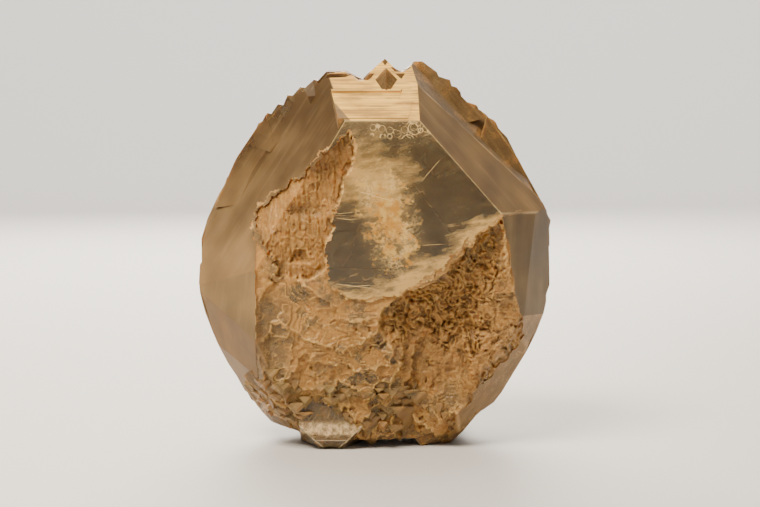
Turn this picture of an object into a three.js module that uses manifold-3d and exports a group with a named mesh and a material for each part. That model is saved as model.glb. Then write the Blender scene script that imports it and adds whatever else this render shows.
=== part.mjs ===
// A tunellite crystal, standing on its lower tips. It grew as one piece: a thick tabular crystal with bevelled
// faces, thin plates and small tips of parallel growth round its rim, and a front that is partly etched away
// into two hollows and a flight of wavy ledges.
// Millimetres, +Z up, the front face towards -Y. The origin is below the middle, on the plane that it rests on.
import * as THREE from "three";
import { mergeVertices } from "three/addons/utils/BufferGeometryUtils.js";
import Module from "manifold-3d";

const wasm = await Module();
wasm.setup();

// Driving dimensions.
const halfWidth = 35.9;
const halfThickness = 19;
const backFlat = 17.6; // the flat of the back, which the growth steps stand on
const centreHeight = 38.3; // of the outline's centre over the resting plane
const topHeight = 78.3; // of the highest tip
const coreInset = 0.5; // by which the core's rim stays inside the plates that stand out of it

// Faces are given as seen from the front: an angle round the outline (0 is right, 90 is up), a reach from the
// crystal's axis, and a spread, the millimetres by which the face moves out for each millimetre of depth.
const frontFace = (angle, reach, spread, half = halfThickness) => ({ angle, reach: reach + spread * half, spread });
const backFace = (angle, reach, spread, half = halfThickness) => ({
  angle,
  reach: reach + spread * half,
  spread: -spread,
});
const rimFace = (angle, reach) => ({ angle, reach, spread: 0 });

const topSpread = 0.7;
const frontBevels = [
  frontFace(90, 28.2, topSpread), // the bright striated face at the top
  frontFace(41.5, 25.2, 0.44), // upper right, inner band
  frontFace(43, 26.9, 0.32), // upper right, outer band
  frontFace(2, 25.2, 0.64), // right, inner band
  frontFace(0, 26.5, 0.5), // right, outer band
  frontFace(149, 19.6, 0.6), // the broad face at the upper left
  frontFace(180, 23.6, 0.9), // left
  frontFace(202, 27.6, 0.6),
  frontFace(214, 30.5, 0.42),
  frontFace(242, 31.5, 0.6),
  frontFace(270, 30.5, 0.75),
  frontFace(298, 29.5, 0.85),
  frontFace(324, 27.5, 0.62),
  frontFace(341, 28.5, 0.5),
];

const backBevels = [
  backFace(90, 23, 0.9),
  backFace(57, 24.5, 1.0),
  backFace(31, 25.5, 0.85),
  backFace(0, 24, 0.7),
  backFace(331, 26, 0.8),
  backFace(304, 26.5, 0.95),
  backFace(270, 29, 0.8),
  backFace(238, 27.5, 0.9),
  backFace(208, 24.5, 0.85),
  backFace(180, 26.5, 0.6),
  backFace(151, 22.5, 0.9),
  backFace(124, 24, 1.05),
];

const rim = [
  [0, 35.9], [19, 35.6], [28, 35.0], [38, 35.9], [50.3, 36.2], [66, 36.4], [90, 36.3], [114, 36.4],
  [126.2, 36.0], [136.9, 35.6], [148.8, 34.6], [153.9, 34.3], [164, 35.3], [180, 35.9],
  [197.5, 36.4], [205.1, 36.8], [212.5, 37.8], [224.5, 38.6], [248, 38.2], [270, 37.2],
  [292, 37.6], [301.4, 38.8], [320, 36.9], [331, 36.35], [341.3, 36.1],
];

// The jagged outline of the whole crystal as seen from the front, from its highest tip to the right: x, height.
const outline = [
  [1.9, 78.3], [4.0, 76.3], [5.4, 75.7], [6.8, 76.6], [7.8, 77.7], [9.5, 77.7], [12.5, 75.5], [12.9, 74.6],
  [15.2, 73.9], [15.5, 72.7], [17.2, 72.2], [17.5, 70.6], [18.9, 69.2], [20.8, 68.8], [21.2, 67.7], [22.8, 67.2],
  [23.1, 66.1], [24.7, 65.4], [25.4, 63.8], [27.2, 61.9], [29.3, 57.6], [31.6, 53.5],
  [33.9, 49.4], [35.9, 45.3], [35.9, 41.2], [35.8, 31.9], [34.4, 26.7], [32.8, 22.6], [30.6, 18.4], [28.2, 14.2],
  [25.9, 10.1], [24.3, 8.0], [21.2, 6.3], [19.3, 4.0], [17.9, 2.3], [15.0, -0.4], [9.4, -0.4], [6.9, 2.6],
  [4.9, 0.9], [2.2, 2.6], [-0.9, -0.3], [-3.0, 1.7], [-5.3, -0.4], [-12.7, -0.4], [-15.8, 2.3], [-17.7, 3.0],
  [-21.6, 4.2], [-23.5, 6.1], [-25.7, 8.0], [-27.1, 10.1], [-29.4, 14.2], [-31.4, 18.4], [-33.2, 22.6],
  [-34.7, 26.7], [-35.7, 30.9], [-35.9, 32.9], [-35.9, 41.2], [-34.7, 45.3], [-32.8, 49.4], [-30.8, 53.5],
  [-28.7, 57.6], [-26.4, 61.7], [-24.2, 65.0], [-23.3, 65.2], [-22.4, 67.0], [-21.4, 66.9], [-20.0, 68.9],
  [-18.9, 68.7], [-18.0, 70.8], [-16.9, 70.7], [-15.4, 72.4], [-14.4, 72.3], [-12.4, 74.1], [-11.6, 73.9],
  [-9.9, 75.7], [-6.2, 75.8], [-4.8, 75.2], [-2.6, 74.2], [-0.9, 75.9],
];

// The stack of plates that makes the rim, from front to back: [front y, back y, recess], where the recess is how
// far a plate's corners stay inside the outline at most.
const plates = [
  [-13.6, -11.1, 1.2],
  [-11.1, -8.4, 0.6],
  [-8.4, -6.2, 1.5],
  [-6.2, -4.5, 0.7],
  [-4.5, -2.1, 0],
  [-2.1, 0.5, 1.3],
  [0.5, 2.6, 0.5],
  [2.6, 4.9, 0],
  [4.9, 7.8, 1.1],
  [7.8, 9.1, 0.4],
  [9.1, 12.4, 1.5],
];

// Tips of the rim, as seen in the front view: [x, height, y, half thickness, angles of the two sides].
const tips = [
  [1.9, topHeight, -3.0, 4.5, 44, 138],
  [8.7, 78.4, -0.8, 5.2, 38, 140],
  [12.6, 75.7, 4.2, 5, 40, 118],
  [15.2, 74.0, 1.0, 6, 40, 57],
  [18.4, 69.8, 8.0, 4, 30, 62],
  [20.7, 68.7, 3.5, 4, 40, 70],
  [24.4, 65.5, 6.0, 5, 44, 54],
  [29.3, 57.7, 1.0, 5, 27, 36],
  [33.9, 49.5, 4.5, 5, 22, 31],
  [5.4, 75.6, 6.5, 3.5, 50, 128],
  [-1.2, 76.0, 3.5, 4.5, 52, 136],
  [-6.2, 76.1, -1.5, 5, 50, 98],
  [-9.9, 75.6, 0.5, 5.5, 86, 122],
  [-15.2, 72.2, 4.5, 4, 108, 134],
  [-19.7, 68.3, 1.5, 5, 112, 140],
  [-23.5, 65.5, 6.5, 5, 122, 146],
  [-28.7, 57.7, 2.5, 5, 146, 156],
  [3.4, 74.4, 9.5, 4, 45, 135],
  [-8.5, 72.9, 11.0, 5, 48, 130],
  [13.4, 69.8, 13.0, 3.5, 44, 126],
  [-26.2, 7.8, 2.0, 5, 205, 232],
  [-21.6, 4.1, -4.0, 5, 215, 262],
  [-17.7, 2.9, 2.5, 5, 240, 290],
  [-15.8, 1.8, -6.5, 3.5, 226, 312],
  [-0.9, -0.4, -6.5, 6, 226, 314],
  [-3.6, 1.0, 3.5, 4, 228, 312],
  [4.9, 0.8, -1.5, 5, 226, 314],
  [19.3, 3.9, 0.5, 5, 262, 320],
  [24.3, 7.9, 4.5, 5, 290, 322],
  [28.2, 14.1, 0.5, 5, 318, 332],
  [-31.4, 18.4, -0.5, 5, 200, 210],
];
// Those that the crystal stands on: their points would lie below the resting plane, which cuts them flat.
const feet = [
  [12.3, -2.9, 3.0, 7.5, 226, 310],
  [12.0, -2.4, 12.0, 4, 228, 312],
  [-9.2, -2.8, 11.0, 5, 226, 314],
];

const tipSpread = 0.85; // how fast a tip's faces close towards its front and back
const tipRoot = 9; // how far a tip runs back into the body

// Small crystals that point down out of the etched front, above its foot.
const frontTips = [
  [-3.6, 5.6, -10.6, 3.2, 226, 314],
  [3.8, 7.2, -11.0, 3.2, 228, 312],
  [-0.9, 0.9, -10.0, 3.4, 226, 314],
  [5.6, 2.6, -8.6, 3.0, 230, 312],
  [-17.0, 6.4, -10.4, 2.6, 224, 308],
  [-20.6, 8.0, -10.6, 2.4, 222, 300],
  [-15.2, 3.0, -9.0, 3.0, 226, 312],
  [-12.6, 9.4, -12.6, 2.2, 226, 314],
];

// The crystal that stands in front of the top face, and the clear one that carries the front.
const topCrystal = [2.1, 76.6, -8.0, 3.4, 44, 138];
const clearCrystal = { x: -8.9, front: -13.4, back: -3.5, reach: 6.4, root: 9 };

// Raised ledges across the top face: [height of the ledge, how far it stands out, left end, right end].
const topSteps = [
  [72.4, 0.4, -9.2, 5.6],
  [70.3, 0.75, -7.6, 8.4],
  [68.4, 1.0, -3.6, 7.2],
];

// The etched front. Each ledge lies at its depth behind the front face, below its edge: points x, height.
const ledges = [
  {
    depth: 0.7,
    edge: [[-24.6, 45], [-22.4, 42.5], [-20.6, 39.8], [-9.9, 39.6], [-9, 34.1], [-6, 31.7], [-1.1, 31.1],
      [4.8, 32.5], [10.7, 35.5], [17.6, 42], [24.8, 47.8], [31, 48]],
  },
  {
    depth: 1.6,
    edge: [[-24.6, 22.5], [-20.6, 24.5], [-20.2, 35.9], [-18, 37], [-15.1, 34.8], [-11.2, 32.1], [-8.8, 31.1],
      [-7, 27.5], [-4.6, 26.7], [0.5, 27.5], [4.3, 29.7], [10.7, 33.4], [17.6, 39.6], [24.8, 45.6], [31, 46]],
  },
  {
    depth: 2.6,
    edge: [[-24.6, 17.6], [-21, 18], [-20.5, 26.8], [-18.1, 26.1], [-14.6, 23.1], [-9, 21.9], [-6.1, 20.5],
      [0.3, 24.9], [1.5, 29], [7.3, 31.6], [14.8, 35.6], [24.8, 44], [31, 44]],
  },
  {
    depth: 3.7,
    edge: [[-24.6, 15.3], [-21.3, 16.2], [-18.1, 14], [-16.5, 15.4], [-14.2, 20.8], [-12, 17.8], [-8.1, 18.4],
      [-3.1, 16.4], [2.2, 17.8], [4.5, 20.4], [1.5, 26.2], [7.3, 30.4], [14.8, 34], [31, 38]],
  },
  {
    depth: 5.1,
    edge: [[-24.6, 13.8], [-21.3, 14.7], [-18.1, 12.3], [-16.5, 13.5], [-11.5, 12.8], [-7.1, 14], [-3.9, 12.7],
      [-1.3, 11], [-0.5, 13.3], [3.3, 15.2], [5.2, 18.2], [4.5, 24], [9, 28.5], [16, 31.5], [31, 32]],
  },
  {
    depth: 6.7,
    edge: [[-24.6, 10.8], [-21.6, 9.3], [-19.2, 11.1], [-16, 8.1], [-12.8, 11], [-7.1, 8.8], [-3.1, 6],
      [0.9, 9.4], [4, 11.5], [7.4, 14.5], [8, 22], [12, 26], [17, 25], [19.5, 16], [24, 14], [31, 18]],
  },
  {
    depth: 8.4,
    edge: [[-24.6, 6.5], [-18.5, 8.6], [-15.3, 5.8], [-11.6, 8.5], [-7.2, 5.3], [-4.8, 3], [-2.3, 5.6], [-0.1, 2.8],
      [2.1, 5.4], [4.6, 9.6], [7.4, 11], [10.5, 7.4], [12.9, 6], [16, 7], [18.9, 5.6], [31, 6]],
  },
  {
    depth: 10.4,
    edge: [[-24.6, 4], [-19.5, 5.6], [-16.5, 2.8], [-12.2, 4.6], [-8.2, 2.3], [-5.8, 0.4], [-2.9, 2.6], [-0.6, 0.4],
      [1.6, 2.4], [4.2, 4.4], [7.2, 7.2], [9.4, 4.4], [12.4, 2.4], [15.4, 4.2], [18.4, 3.4], [31, 3]],
  },
];

// The hollow at the upper left, inside its outline: points x, height.
const leftHollow = {
  depth: 2.4,
  least: 1.1, // its depth below the bevels, where they lie behind the front face
  slope: 0.12, // its floor falls away from its outline
  outline: [[-4.6, 63.6], [-6, 61.2], [-10.5, 58.1], [-14.9, 53.7], [-20.8, 50.8], [-23.6, 49], [-24.6, 45.8],
    [-22.8, 42.7], [-20.4, 39.6], [-19.8, 36], [-13, 34.5], [-9.8, 37.6], [-9.8, 41.9], [-8.4, 46.4],
    [-6.8, 52.8], [-6, 57.7], [-4.4, 61]],
};
// The deeper one at the lower right.
const rightHollow = {
  depth: 2.6,
  least: 1.2,
  slope: 0.42,
  outline: [[24.9, 47.6], [20.7, 44.3], [17.8, 41.3], [14.8, 37.7], [10.8, 34.7], [7.3, 33.3], [4.3, 31.7],
    [1.5, 29.3], [0.3, 26.3], [1.5, 23.7], [3.3, 20.6], [4.5, 18.2], [3.3, 15.2], [1.6, 10.5], [5, 7],
    [12.9, 6.5], [18.9, 9], [24, 14.5], [27.6, 18.6], [30.2, 22.6], [29.8, 25.4], [28, 30.4], [26.6, 36],
    [25.6, 41]],
};
const pocket = { x: -15, height: 40, radius: 1.7, depth: 2.2 }; // a small pit in the left hollow's lower end
const lowerEtching = { left: -23.6, right: 6, least: 0.6 }; // below the ledges, where the bevels are etched as well
const gridStep = 1.4; // of the etched surface
const roughness = 0.55; // height of its lumps
const untouched = -3; // depth where nothing is etched: the cutter stays in front of the crystal
const plateOverlap = 0.1; // by which each plate runs into the one in front of it
const shortest = 0.05; // edges below this are closed up
const thinnest = 0.012; // triangles below this are turned
const etchedArea = { left: -25.2, right: 30.8, bottom: -1.5, top: 64.4 };

// Growth steps on the back: [x, height, reach, thickness].
const backSteps = [
  [-2, 39, 17.5, 0.5],
  [-5.5, 44, 10.8, 1.0],
  [7, 29.5, 8.4, 0.8],
  [-7.5, 47, 5.2, 1.4],
];

const radians = THREE.MathUtils.degToRad;

function solidOf(geometry) {
  const bare = new THREE.BufferGeometry();
  bare.setAttribute("position", geometry.getAttribute("position"));
  if (geometry.index) bare.setIndex(geometry.index);
  const merged = mergeVertices(bare, 1e-4);
  const vertProperties = new Float32Array(merged.getAttribute("position").array);
  const triVerts = new Uint32Array(merged.index.array);
  return new wasm.Manifold(new wasm.Mesh({ numProp: 3, vertProperties, triVerts }));
}

const join = (solids) => solids.reduce((all, solid) => all.add(solid));

function block(width, depth, height) {
  return solidOf(new THREE.BoxGeometry(width, depth, height).translate(0, 0, height / 2));
}

// The plane of a face, as a normal and an offset, on a crystal whose axis runs through `axis`.
function planeOf({ angle, reach, spread }, axis) {
  const normal = new THREE.Vector3(Math.cos(radians(angle)), -spread, Math.sin(radians(angle)));
  return { normal, offset: reach + normal.dot(axis) };
}

// The convex solid inside all the planes, with each face cut into a fan of triangles.
function convexSolid(planes) {
  const corners = [];
  const inside = (p) => planes.every(({ normal, offset }) => normal.dot(p) <= offset + 1e-6);
  for (let i = 0; i < planes.length; i++)
    for (let j = i + 1; j < planes.length; j++)
      for (let k = j + 1; k < planes.length; k++) {
        const [a, b, c] = [planes[i], planes[j], planes[k]];
        const bc = b.normal.clone().cross(c.normal);
        const determinant = a.normal.dot(bc);
        if (Math.abs(determinant) < 1e-7) continue;
        const p = bc.multiplyScalar(a.offset);
        p.addScaledVector(c.normal.clone().cross(a.normal), b.offset);
        p.addScaledVector(a.normal.clone().cross(b.normal), c.offset);
        p.divideScalar(determinant);
        if (inside(p) && !corners.some((q) => q.distanceTo(p) < 1e-4)) corners.push(p);
      }
  const positions = [];
  for (const { normal, offset } of planes) {
    const face = corners.filter((p) => Math.abs(normal.dot(p) - offset) < 1e-3);
    if (face.length < 3) continue;
    const middle = face.reduce((sum, p) => sum.add(p), new THREE.Vector3()).divideScalar(face.length);
    const across = face[0].clone().sub(middle).normalize();
    const along = normal.clone().normalize().cross(across);
    const turn = (p) => Math.atan2(p.clone().sub(middle).dot(along), p.clone().sub(middle).dot(across));
    face.sort((p, q) => turn(p) - turn(q));
    for (let i = 1; i + 1 < face.length; i++)
      for (const p of [face[0], face[i], face[i + 1]]) positions.push(p.x, p.y, p.z);
  }
  const geometry = new THREE.BufferGeometry();
  geometry.setAttribute("position", new THREE.Float32BufferAttribute(positions, 3));
  return solidOf(geometry);
}

// A crystal between a front and a back plane, with the given faces round it.
function crystal(faces, axis, front, back) {
  const planes = faces.map((face) => planeOf(face, axis));
  planes.push({ normal: new THREE.Vector3(0, -1, 0), offset: -front });
  planes.push({ normal: new THREE.Vector3(0, 1, 0), offset: back });
  return convexSolid(planes);
}

const bodyAxis = new THREE.Vector3(0, 0, centreHeight);

function bevelled(faces = []) {
  return crystal([...frontBevels, ...backBevels, ...faces], bodyAxis, -halfThickness, backFlat);
}

// A plate with the shape of the outline, its corners drawn in unevenly by up to `recess`.
function outlinePlate([front, back, recess], index = 0) {
  const shape = new THREE.Shape(
    outline.map(([x, height], corner) => {
      const share = recess * (0.5 + 0.5 * Math.sin(1.9 * corner + 2.3 * index));
      const point = new THREE.Vector2(x, height - centreHeight);
      point.setLength(point.length() - share);
      return point.setY(point.y + centreHeight);
    }),
  );
  const depth = back - front + plateOverlap;
  const plate = new THREE.ExtrudeGeometry(shape, { depth, bevelEnabled: false });
  return solidOf(plate.rotateX(Math.PI / 2).translate(0, back, 0));
}

// A tip whose point is at `x, height, y`, between two sides that meet there and lean in to its front and back.
function tip([x, height, y, half, firstAngle, secondAngle]) {
  const apex = new THREE.Vector3(x, y, height);
  const sides = [firstAngle, secondAngle].flatMap((angle) => [
    { angle, reach: 0, spread: tipSpread },
    { angle, reach: 0, spread: -tipSpread },
  ]);
  const inward = (firstAngle + secondAngle) / 2 + 180;
  const ends = [inward - 50, inward, inward + 50].map((angle) => ({ angle, reach: tipRoot, spread: 0 }));
  return crystal([...sides, ...ends], apex, y - half, y + half);
}

// The clear crystal at the foot of the front: a flat front, and sides at 45 degrees.
function clearFoot({ x, front, back, reach, root }) {
  const axis = new THREE.Vector3(x, 0, reach - 1.6);
  const half = -front;
  const faces = [
    frontFace(225, reach - 2.1, 0.35, half),
    frontFace(315, reach - 2.1, 0.35, half),
    frontFace(270, reach - 3.6, 1.0, half),
    rimFace(180, reach),
    rimFace(0, reach),
    rimFace(90, root),
  ];
  return crystal(faces, axis, front, back);
}

// A ledge on the top face: a thin copy of the face that ends at a height.
function topStep([height, stand, left, right]) {
  const faces = [
    frontFace(90, 28.2 + stand, topSpread),
    frontFace(0, right - 2, 0.2),
    frontFace(180, -left - 2, 0.2),
    rimFace(90, height - centreHeight),
    rimFace(270, -20),
  ];
  return crystal(faces, bodyAxis, -halfThickness + 0.5, 0);
}

function backStep([x, height, reach, thickness]) {
  const axis = new THREE.Vector3(x, 0, height);
  const top = backFlat + thickness;
  const faces = [[90, 1], [37, 0.9], [143, 0.9], [217, 1.05], [323, 1.05], [270, 0.85]].map(([angle, share]) =>
    backFace(angle, reach * share, 0.5, top),
  );
  return crystal(faces, axis, 0, top);
}

// The height of a ledge's edge at x: straight between its points.
function heightAt(edge, x) {
  const next = edge.findIndex(([px]) => px > x);
  if (next <= 0) return edge[next === 0 ? 0 : edge.length - 1][1];
  const [[x0, z0], [x1, z1]] = [edge[next - 1], edge[next]];
  return THREE.MathUtils.mapLinear(x, x0, x1, z0, z1);
}

// How far a point is inside an outline. It is negative outside.
function insideBy(outline, x, z) {
  let nearest = Infinity;
  let inside = false;
  outline.forEach(([x1, z1], i) => {
    const [x0, z0] = outline[(i || outline.length) - 1];
    const [dx, dz] = [x1 - x0, z1 - z0];
    const along = THREE.MathUtils.clamp(((x - x0) * dx + (z - z0) * dz) / (dx * dx + dz * dz), 0, 1);
    nearest = Math.min(nearest, Math.hypot(x - x0 - along * dx, z - z0 - along * dz));
    if (z0 > z !== z1 > z && x < x0 + ((z - z0) * dx) / dz) inside = !inside;
  });
  return inside ? nearest : -nearest;
}

// Lumps of the etched surface, between -1 and 1: crossed waves, stretched upwards in the left hollow.
function lumps(x, z, stretch) {
  const a = Math.sin(2.1 * x + 1.3 * Math.sin(0.7 * z * stretch));
  const b = Math.sin(1.6 * z * stretch + 1.9 * Math.sin(0.9 * x));
  const c = Math.sin(0.83 * x - 1.05 * z * stretch + 2);
  return (a + b + c) / 3;
}

// How far behind the front face the bevels lie.
function bevelDepth(x, z) {
  const depths = frontBevels.map((face) => {
    const { normal, offset } = planeOf(face, bodyAxis);
    return (normal.x * x + normal.z * z - offset) / -normal.y + halfThickness;
  });
  return Math.max(0, ...depths);
}

function hollowDepth({ depth, least, slope, outline }, x, z, stretch) {
  const inside = insideBy(outline, x, z);
  if (inside <= 0) return untouched;
  const floor = Math.max(depth + slope * inside, bevelDepth(x, z) + least);
  return floor + roughness * lumps(x, z, stretch) * Math.min(1, inside / 2);
}

// The depth of the etched front behind the front face.
function etchedDepth(x, z) {
  let depth = untouched;
  for (const ledge of ledges) if (z < heightAt(ledge.edge, x)) depth = Math.max(depth, ledge.depth);
  if (depth > untouched && x > lowerEtching.left && x < lowerEtching.right)
    depth = Math.max(depth, bevelDepth(x, z) + lowerEtching.least);
  if (depth > untouched) depth += 0.18 * lumps(x, z, 0.6);
  depth = Math.max(depth, hollowDepth(leftHollow, x, z, 0.35), hollowDepth(rightHollow, x, z, 1));
  const toPocket = Math.hypot(x - pocket.x, z - pocket.height) / pocket.radius;
  return toPocket < 1 ? depth + pocket.depth * (1 - toPocket * toPocket) : depth;
}

// The material that etching took: a block in front of the crystal whose rear face is the etched surface.
function etchedBlock() {
  const { left, right, bottom, top } = etchedArea;
  const columns = Math.round((right - left) / gridStep);
  const rows = Math.round((top - bottom) / gridStep);
  const cutter = new THREE.BoxGeometry(right - left, 1, top - bottom, columns, 1, rows);
  cutter.translate((left + right) / 2, 0, (bottom + top) / 2);
  const points = cutter.getAttribute("position");
  for (let i = 0; i < points.count; i++) {
    const isRear = points.getY(i) > 0;
    const depth = isRear ? etchedDepth(points.getX(i), points.getZ(i)) : 2 * untouched;
    points.setY(i, depth - halfThickness);
  }
  return solidOf(cutter);
}

// Joining leaves slivers. This draws each short edge together to one corner, where the surface stays closed.
function closeShortEdges(corners, triangles) {
  const round = corners.map(() => new Set());
  triangles.forEach((triangle, i) => triangle.forEach((corner) => round[corner].add(i)));
  const beside = (corner) => new Set([...round[corner]].flatMap((i) => triangles[i]));
  for (const triangle of triangles)
    for (let side = 0; side < 3; side++) {
      const [p, q] = [triangle[side], triangle[(side + 1) % 3]];
      if (p === q || corners[p].distanceTo(corners[q]) >= shortest) continue;
      const besideQ = beside(q);
      if ([...beside(p)].filter((corner) => besideQ.has(corner)).length !== 4) continue;
      for (const i of [...round[q]]) {
        const changed = triangles[i];
        if (changed.includes(p)) changed.forEach((corner) => round[corner].delete(i));
        else round[p].add(i);
        changed[changed.indexOf(q)] = p;
      }
      break;
    }
  return triangles.filter(([a, b, c]) => a !== b && b !== c && c !== a);
}

// Where a triangle's corners lie nearly in a line, this turns its long edge, to run from its middle corner to the
// far corner of the triangle behind it.
function turnLongEdges(corners, triangles) {
  const length = (a, b) => corners[a].distanceTo(corners[b]);
  const height = ([a, b, c]) => (2 * new THREE.Triangle(corners[a], corners[b], corners[c]).getArea()) / length(a, b);
  const kept = triangles.map(([a, b, c]) => {
    const turns = [[a, b, c], [b, c, a], [c, a, b]];
    return turns.reduce((best, turn) => (length(turn[0], turn[1]) > length(best[0], best[1]) ? turn : best));
  });
  const behind = new Map();
  kept.forEach(([a, b, c], i) => [[a, b], [b, c], [c, a]].forEach((edge) => behind.set(edge.join(), i)));
  const thinFirst = kept.map((triangle, i) => [height(triangle), i]).sort(([h0], [h1]) => h0 - h1);
  const turned = new Set();
  for (const [thickness, i] of thinFirst) {
    const [a, b, c] = kept[i];
    const other = behind.get([b, a].join());
    if (thickness > thinnest || turned.has(i) || turned.has(other)) continue;
    const d = kept[other].find((corner) => corner !== a && corner !== b);
    if (behind.has([c, d].join()) || behind.has([d, c].join())) continue;
    kept[i] = [c, a, d];
    kept[other] = [d, b, c];
    behind.set([c, d].join(), other).set([d, c].join(), i);
    turned.add(i).add(other);
  }
  return kept;
}

function specimen() {
  const body = bevelled(rim.map(([angle, reach]) => rimFace(angle, reach - coreInset)));
  const fringe = bevelled().intersect(join(plates.map(outlinePlate)));
  const standing = join([...tips, ...feet].map(tip)).intersect(outlinePlate([-halfThickness, halfThickness, 0]));
  const grown = join([body, fringe, standing, ...topSteps.map(topStep), ...backSteps.map(backStep)]);
  const etched = grown.subtract(etchedBlock());
  const aboveGround = block(4 * halfWidth, 4 * halfWidth, 2 * topHeight);
  const front = join([...frontTips, topCrystal].map(tip));
  const whole = join([etched, front, clearFoot(clearCrystal)]).intersect(aboveGround);
  const { vertProperties, triVerts } = whole.getMesh();
  const corners = [];
  for (let i = 0; i < vertProperties.length; i += 3)
    corners.push(new THREE.Vector3().fromArray(vertProperties, i));
  let triangles = [];
  for (let i = 0; i < triVerts.length; i += 3) triangles.push([...triVerts.slice(i, i + 3)]);
  for (let pass = 0; pass < 8; pass++) {
    triangles = turnLongEdges(corners, closeShortEdges(corners, triangles));
  }
  return new THREE.BufferGeometry().setFromPoints(corners).setIndex(triangles.flat());
}

const material = new THREE.MeshStandardMaterial({ color: 0xb98f5f, roughness: 0.35, metalness: 0 });
const mesh = new THREE.Mesh(specimen(), material);
mesh.name = "crystal";

const group = new THREE.Group();
group.add(mesh);

export default group;
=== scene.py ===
import bmesh
import bpy
import itertools
import math
import numpy as np
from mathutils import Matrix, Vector


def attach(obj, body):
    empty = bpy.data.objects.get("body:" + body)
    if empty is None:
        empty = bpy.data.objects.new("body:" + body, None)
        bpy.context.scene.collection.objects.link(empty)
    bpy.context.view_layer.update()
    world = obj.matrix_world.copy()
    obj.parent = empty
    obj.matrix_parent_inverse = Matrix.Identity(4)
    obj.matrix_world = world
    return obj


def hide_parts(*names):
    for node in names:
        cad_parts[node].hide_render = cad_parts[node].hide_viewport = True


# Lengths are in millimetres up to the meshes, which are in metres. The front faces -Y.
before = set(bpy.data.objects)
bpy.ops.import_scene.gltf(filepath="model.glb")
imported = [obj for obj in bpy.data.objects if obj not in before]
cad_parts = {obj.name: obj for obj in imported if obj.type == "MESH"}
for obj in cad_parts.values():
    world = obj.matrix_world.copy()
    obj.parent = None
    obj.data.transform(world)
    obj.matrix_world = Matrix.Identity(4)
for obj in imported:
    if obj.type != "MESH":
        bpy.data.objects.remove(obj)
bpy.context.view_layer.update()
mm = 0.001
print("loaded the frame")


# Camera, at the photograph's angle.

def addCamera():
    settings = {"elevation": 6.0, "distance": 460.0, "lens": 106.2, "aim": (0.92, 0.0, 38.4)}
    aim = Vector(settings["aim"]) * mm
    tilt = math.radians(settings["elevation"])
    back = Vector((0, -math.cos(tilt), math.sin(tilt)))
    camera = bpy.data.objects.new("camera", bpy.data.cameras.new("camera"))
    camera.data.lens = settings["lens"]
    camera.data.sensor_width = 36.0
    camera.data.clip_start = 0.01
    camera.location = aim + back * settings["distance"] * mm
    camera.rotation_euler = (-back).to_track_quat("-Z", "Y").to_euler()
    bpy.context.scene.collection.objects.link(camera)
    bpy.context.scene.camera = camera


addCamera()


# Shader maths, written as expressions on sockets.

class Term:
    def __init__(self, tree, socket):
        self.tree = tree
        self.socket = socket

    def math(self, operation, *others, clamp=False):
        node = self.tree.nodes.new("ShaderNodeMath")
        node.operation = operation
        node.use_clamp = clamp
        for place, value in zip(node.inputs, (self, *others)):
            put(self.tree, value, place)
        return Term(self.tree, node.outputs[0])

    def __add__(self, other):
        return self.math("ADD", other)

    def __radd__(self, other):
        return self.math("ADD", other)

    def __sub__(self, other):
        return self.math("SUBTRACT", other)

    def __rsub__(self, other):
        return constant(self.tree, other).math("SUBTRACT", self)

    def __mul__(self, other):
        return self.math("MULTIPLY", other)

    def __truediv__(self, other):
        return self.math("DIVIDE", other)

    def __pow__(self, other):
        return self.math("POWER", other)

    def root(self):
        return self.math("SQRT")

    def fraction(self):
        return self.math("FRACT")

    def absolute(self):
        return self.math("ABSOLUTE")

    def clamped(self):
        return self.math("ADD", 0.0, clamp=True)

    def least(self, other):
        return self.math("MINIMUM", other)

    def most(self, other):
        return self.math("MAXIMUM", other)

    # 0 before `start` and 1 after `end`, smooth between them.
    def ramp(self, start, end):
        node = self.tree.nodes.new("ShaderNodeMapRange")
        node.interpolation_type = "SMOOTHSTEP"
        for place, value in zip(node.inputs, (self, start, end, 0.0, 1.0)):
            put(self.tree, value, place)
        return Term(self.tree, node.outputs[0])

    # A mix of two colours: the first at 0, the second at 1.
    def between(self, first, second):
        node = self.tree.nodes.new("ShaderNodeMix")
        node.data_type = "RGBA"
        put(self.tree, self, node.inputs[0])
        put(self.tree, first, node.inputs[6])
        put(self.tree, second, node.inputs[7])
        return Term(self.tree, node.outputs[2])


def put(tree, value, place):
    if isinstance(value, Term):
        tree.links.new(value.socket, place)
    elif isinstance(value, tuple):
        place.default_value = (*value, 1.0)[:len(place.default_value)]
    else:
        place.default_value = value


def constant(tree, number):
    node = tree.nodes.new("ShaderNodeMath")
    node.inputs[0].default_value = number
    node.inputs[1].default_value = 0.0
    return Term(tree, node.outputs[0])


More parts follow.
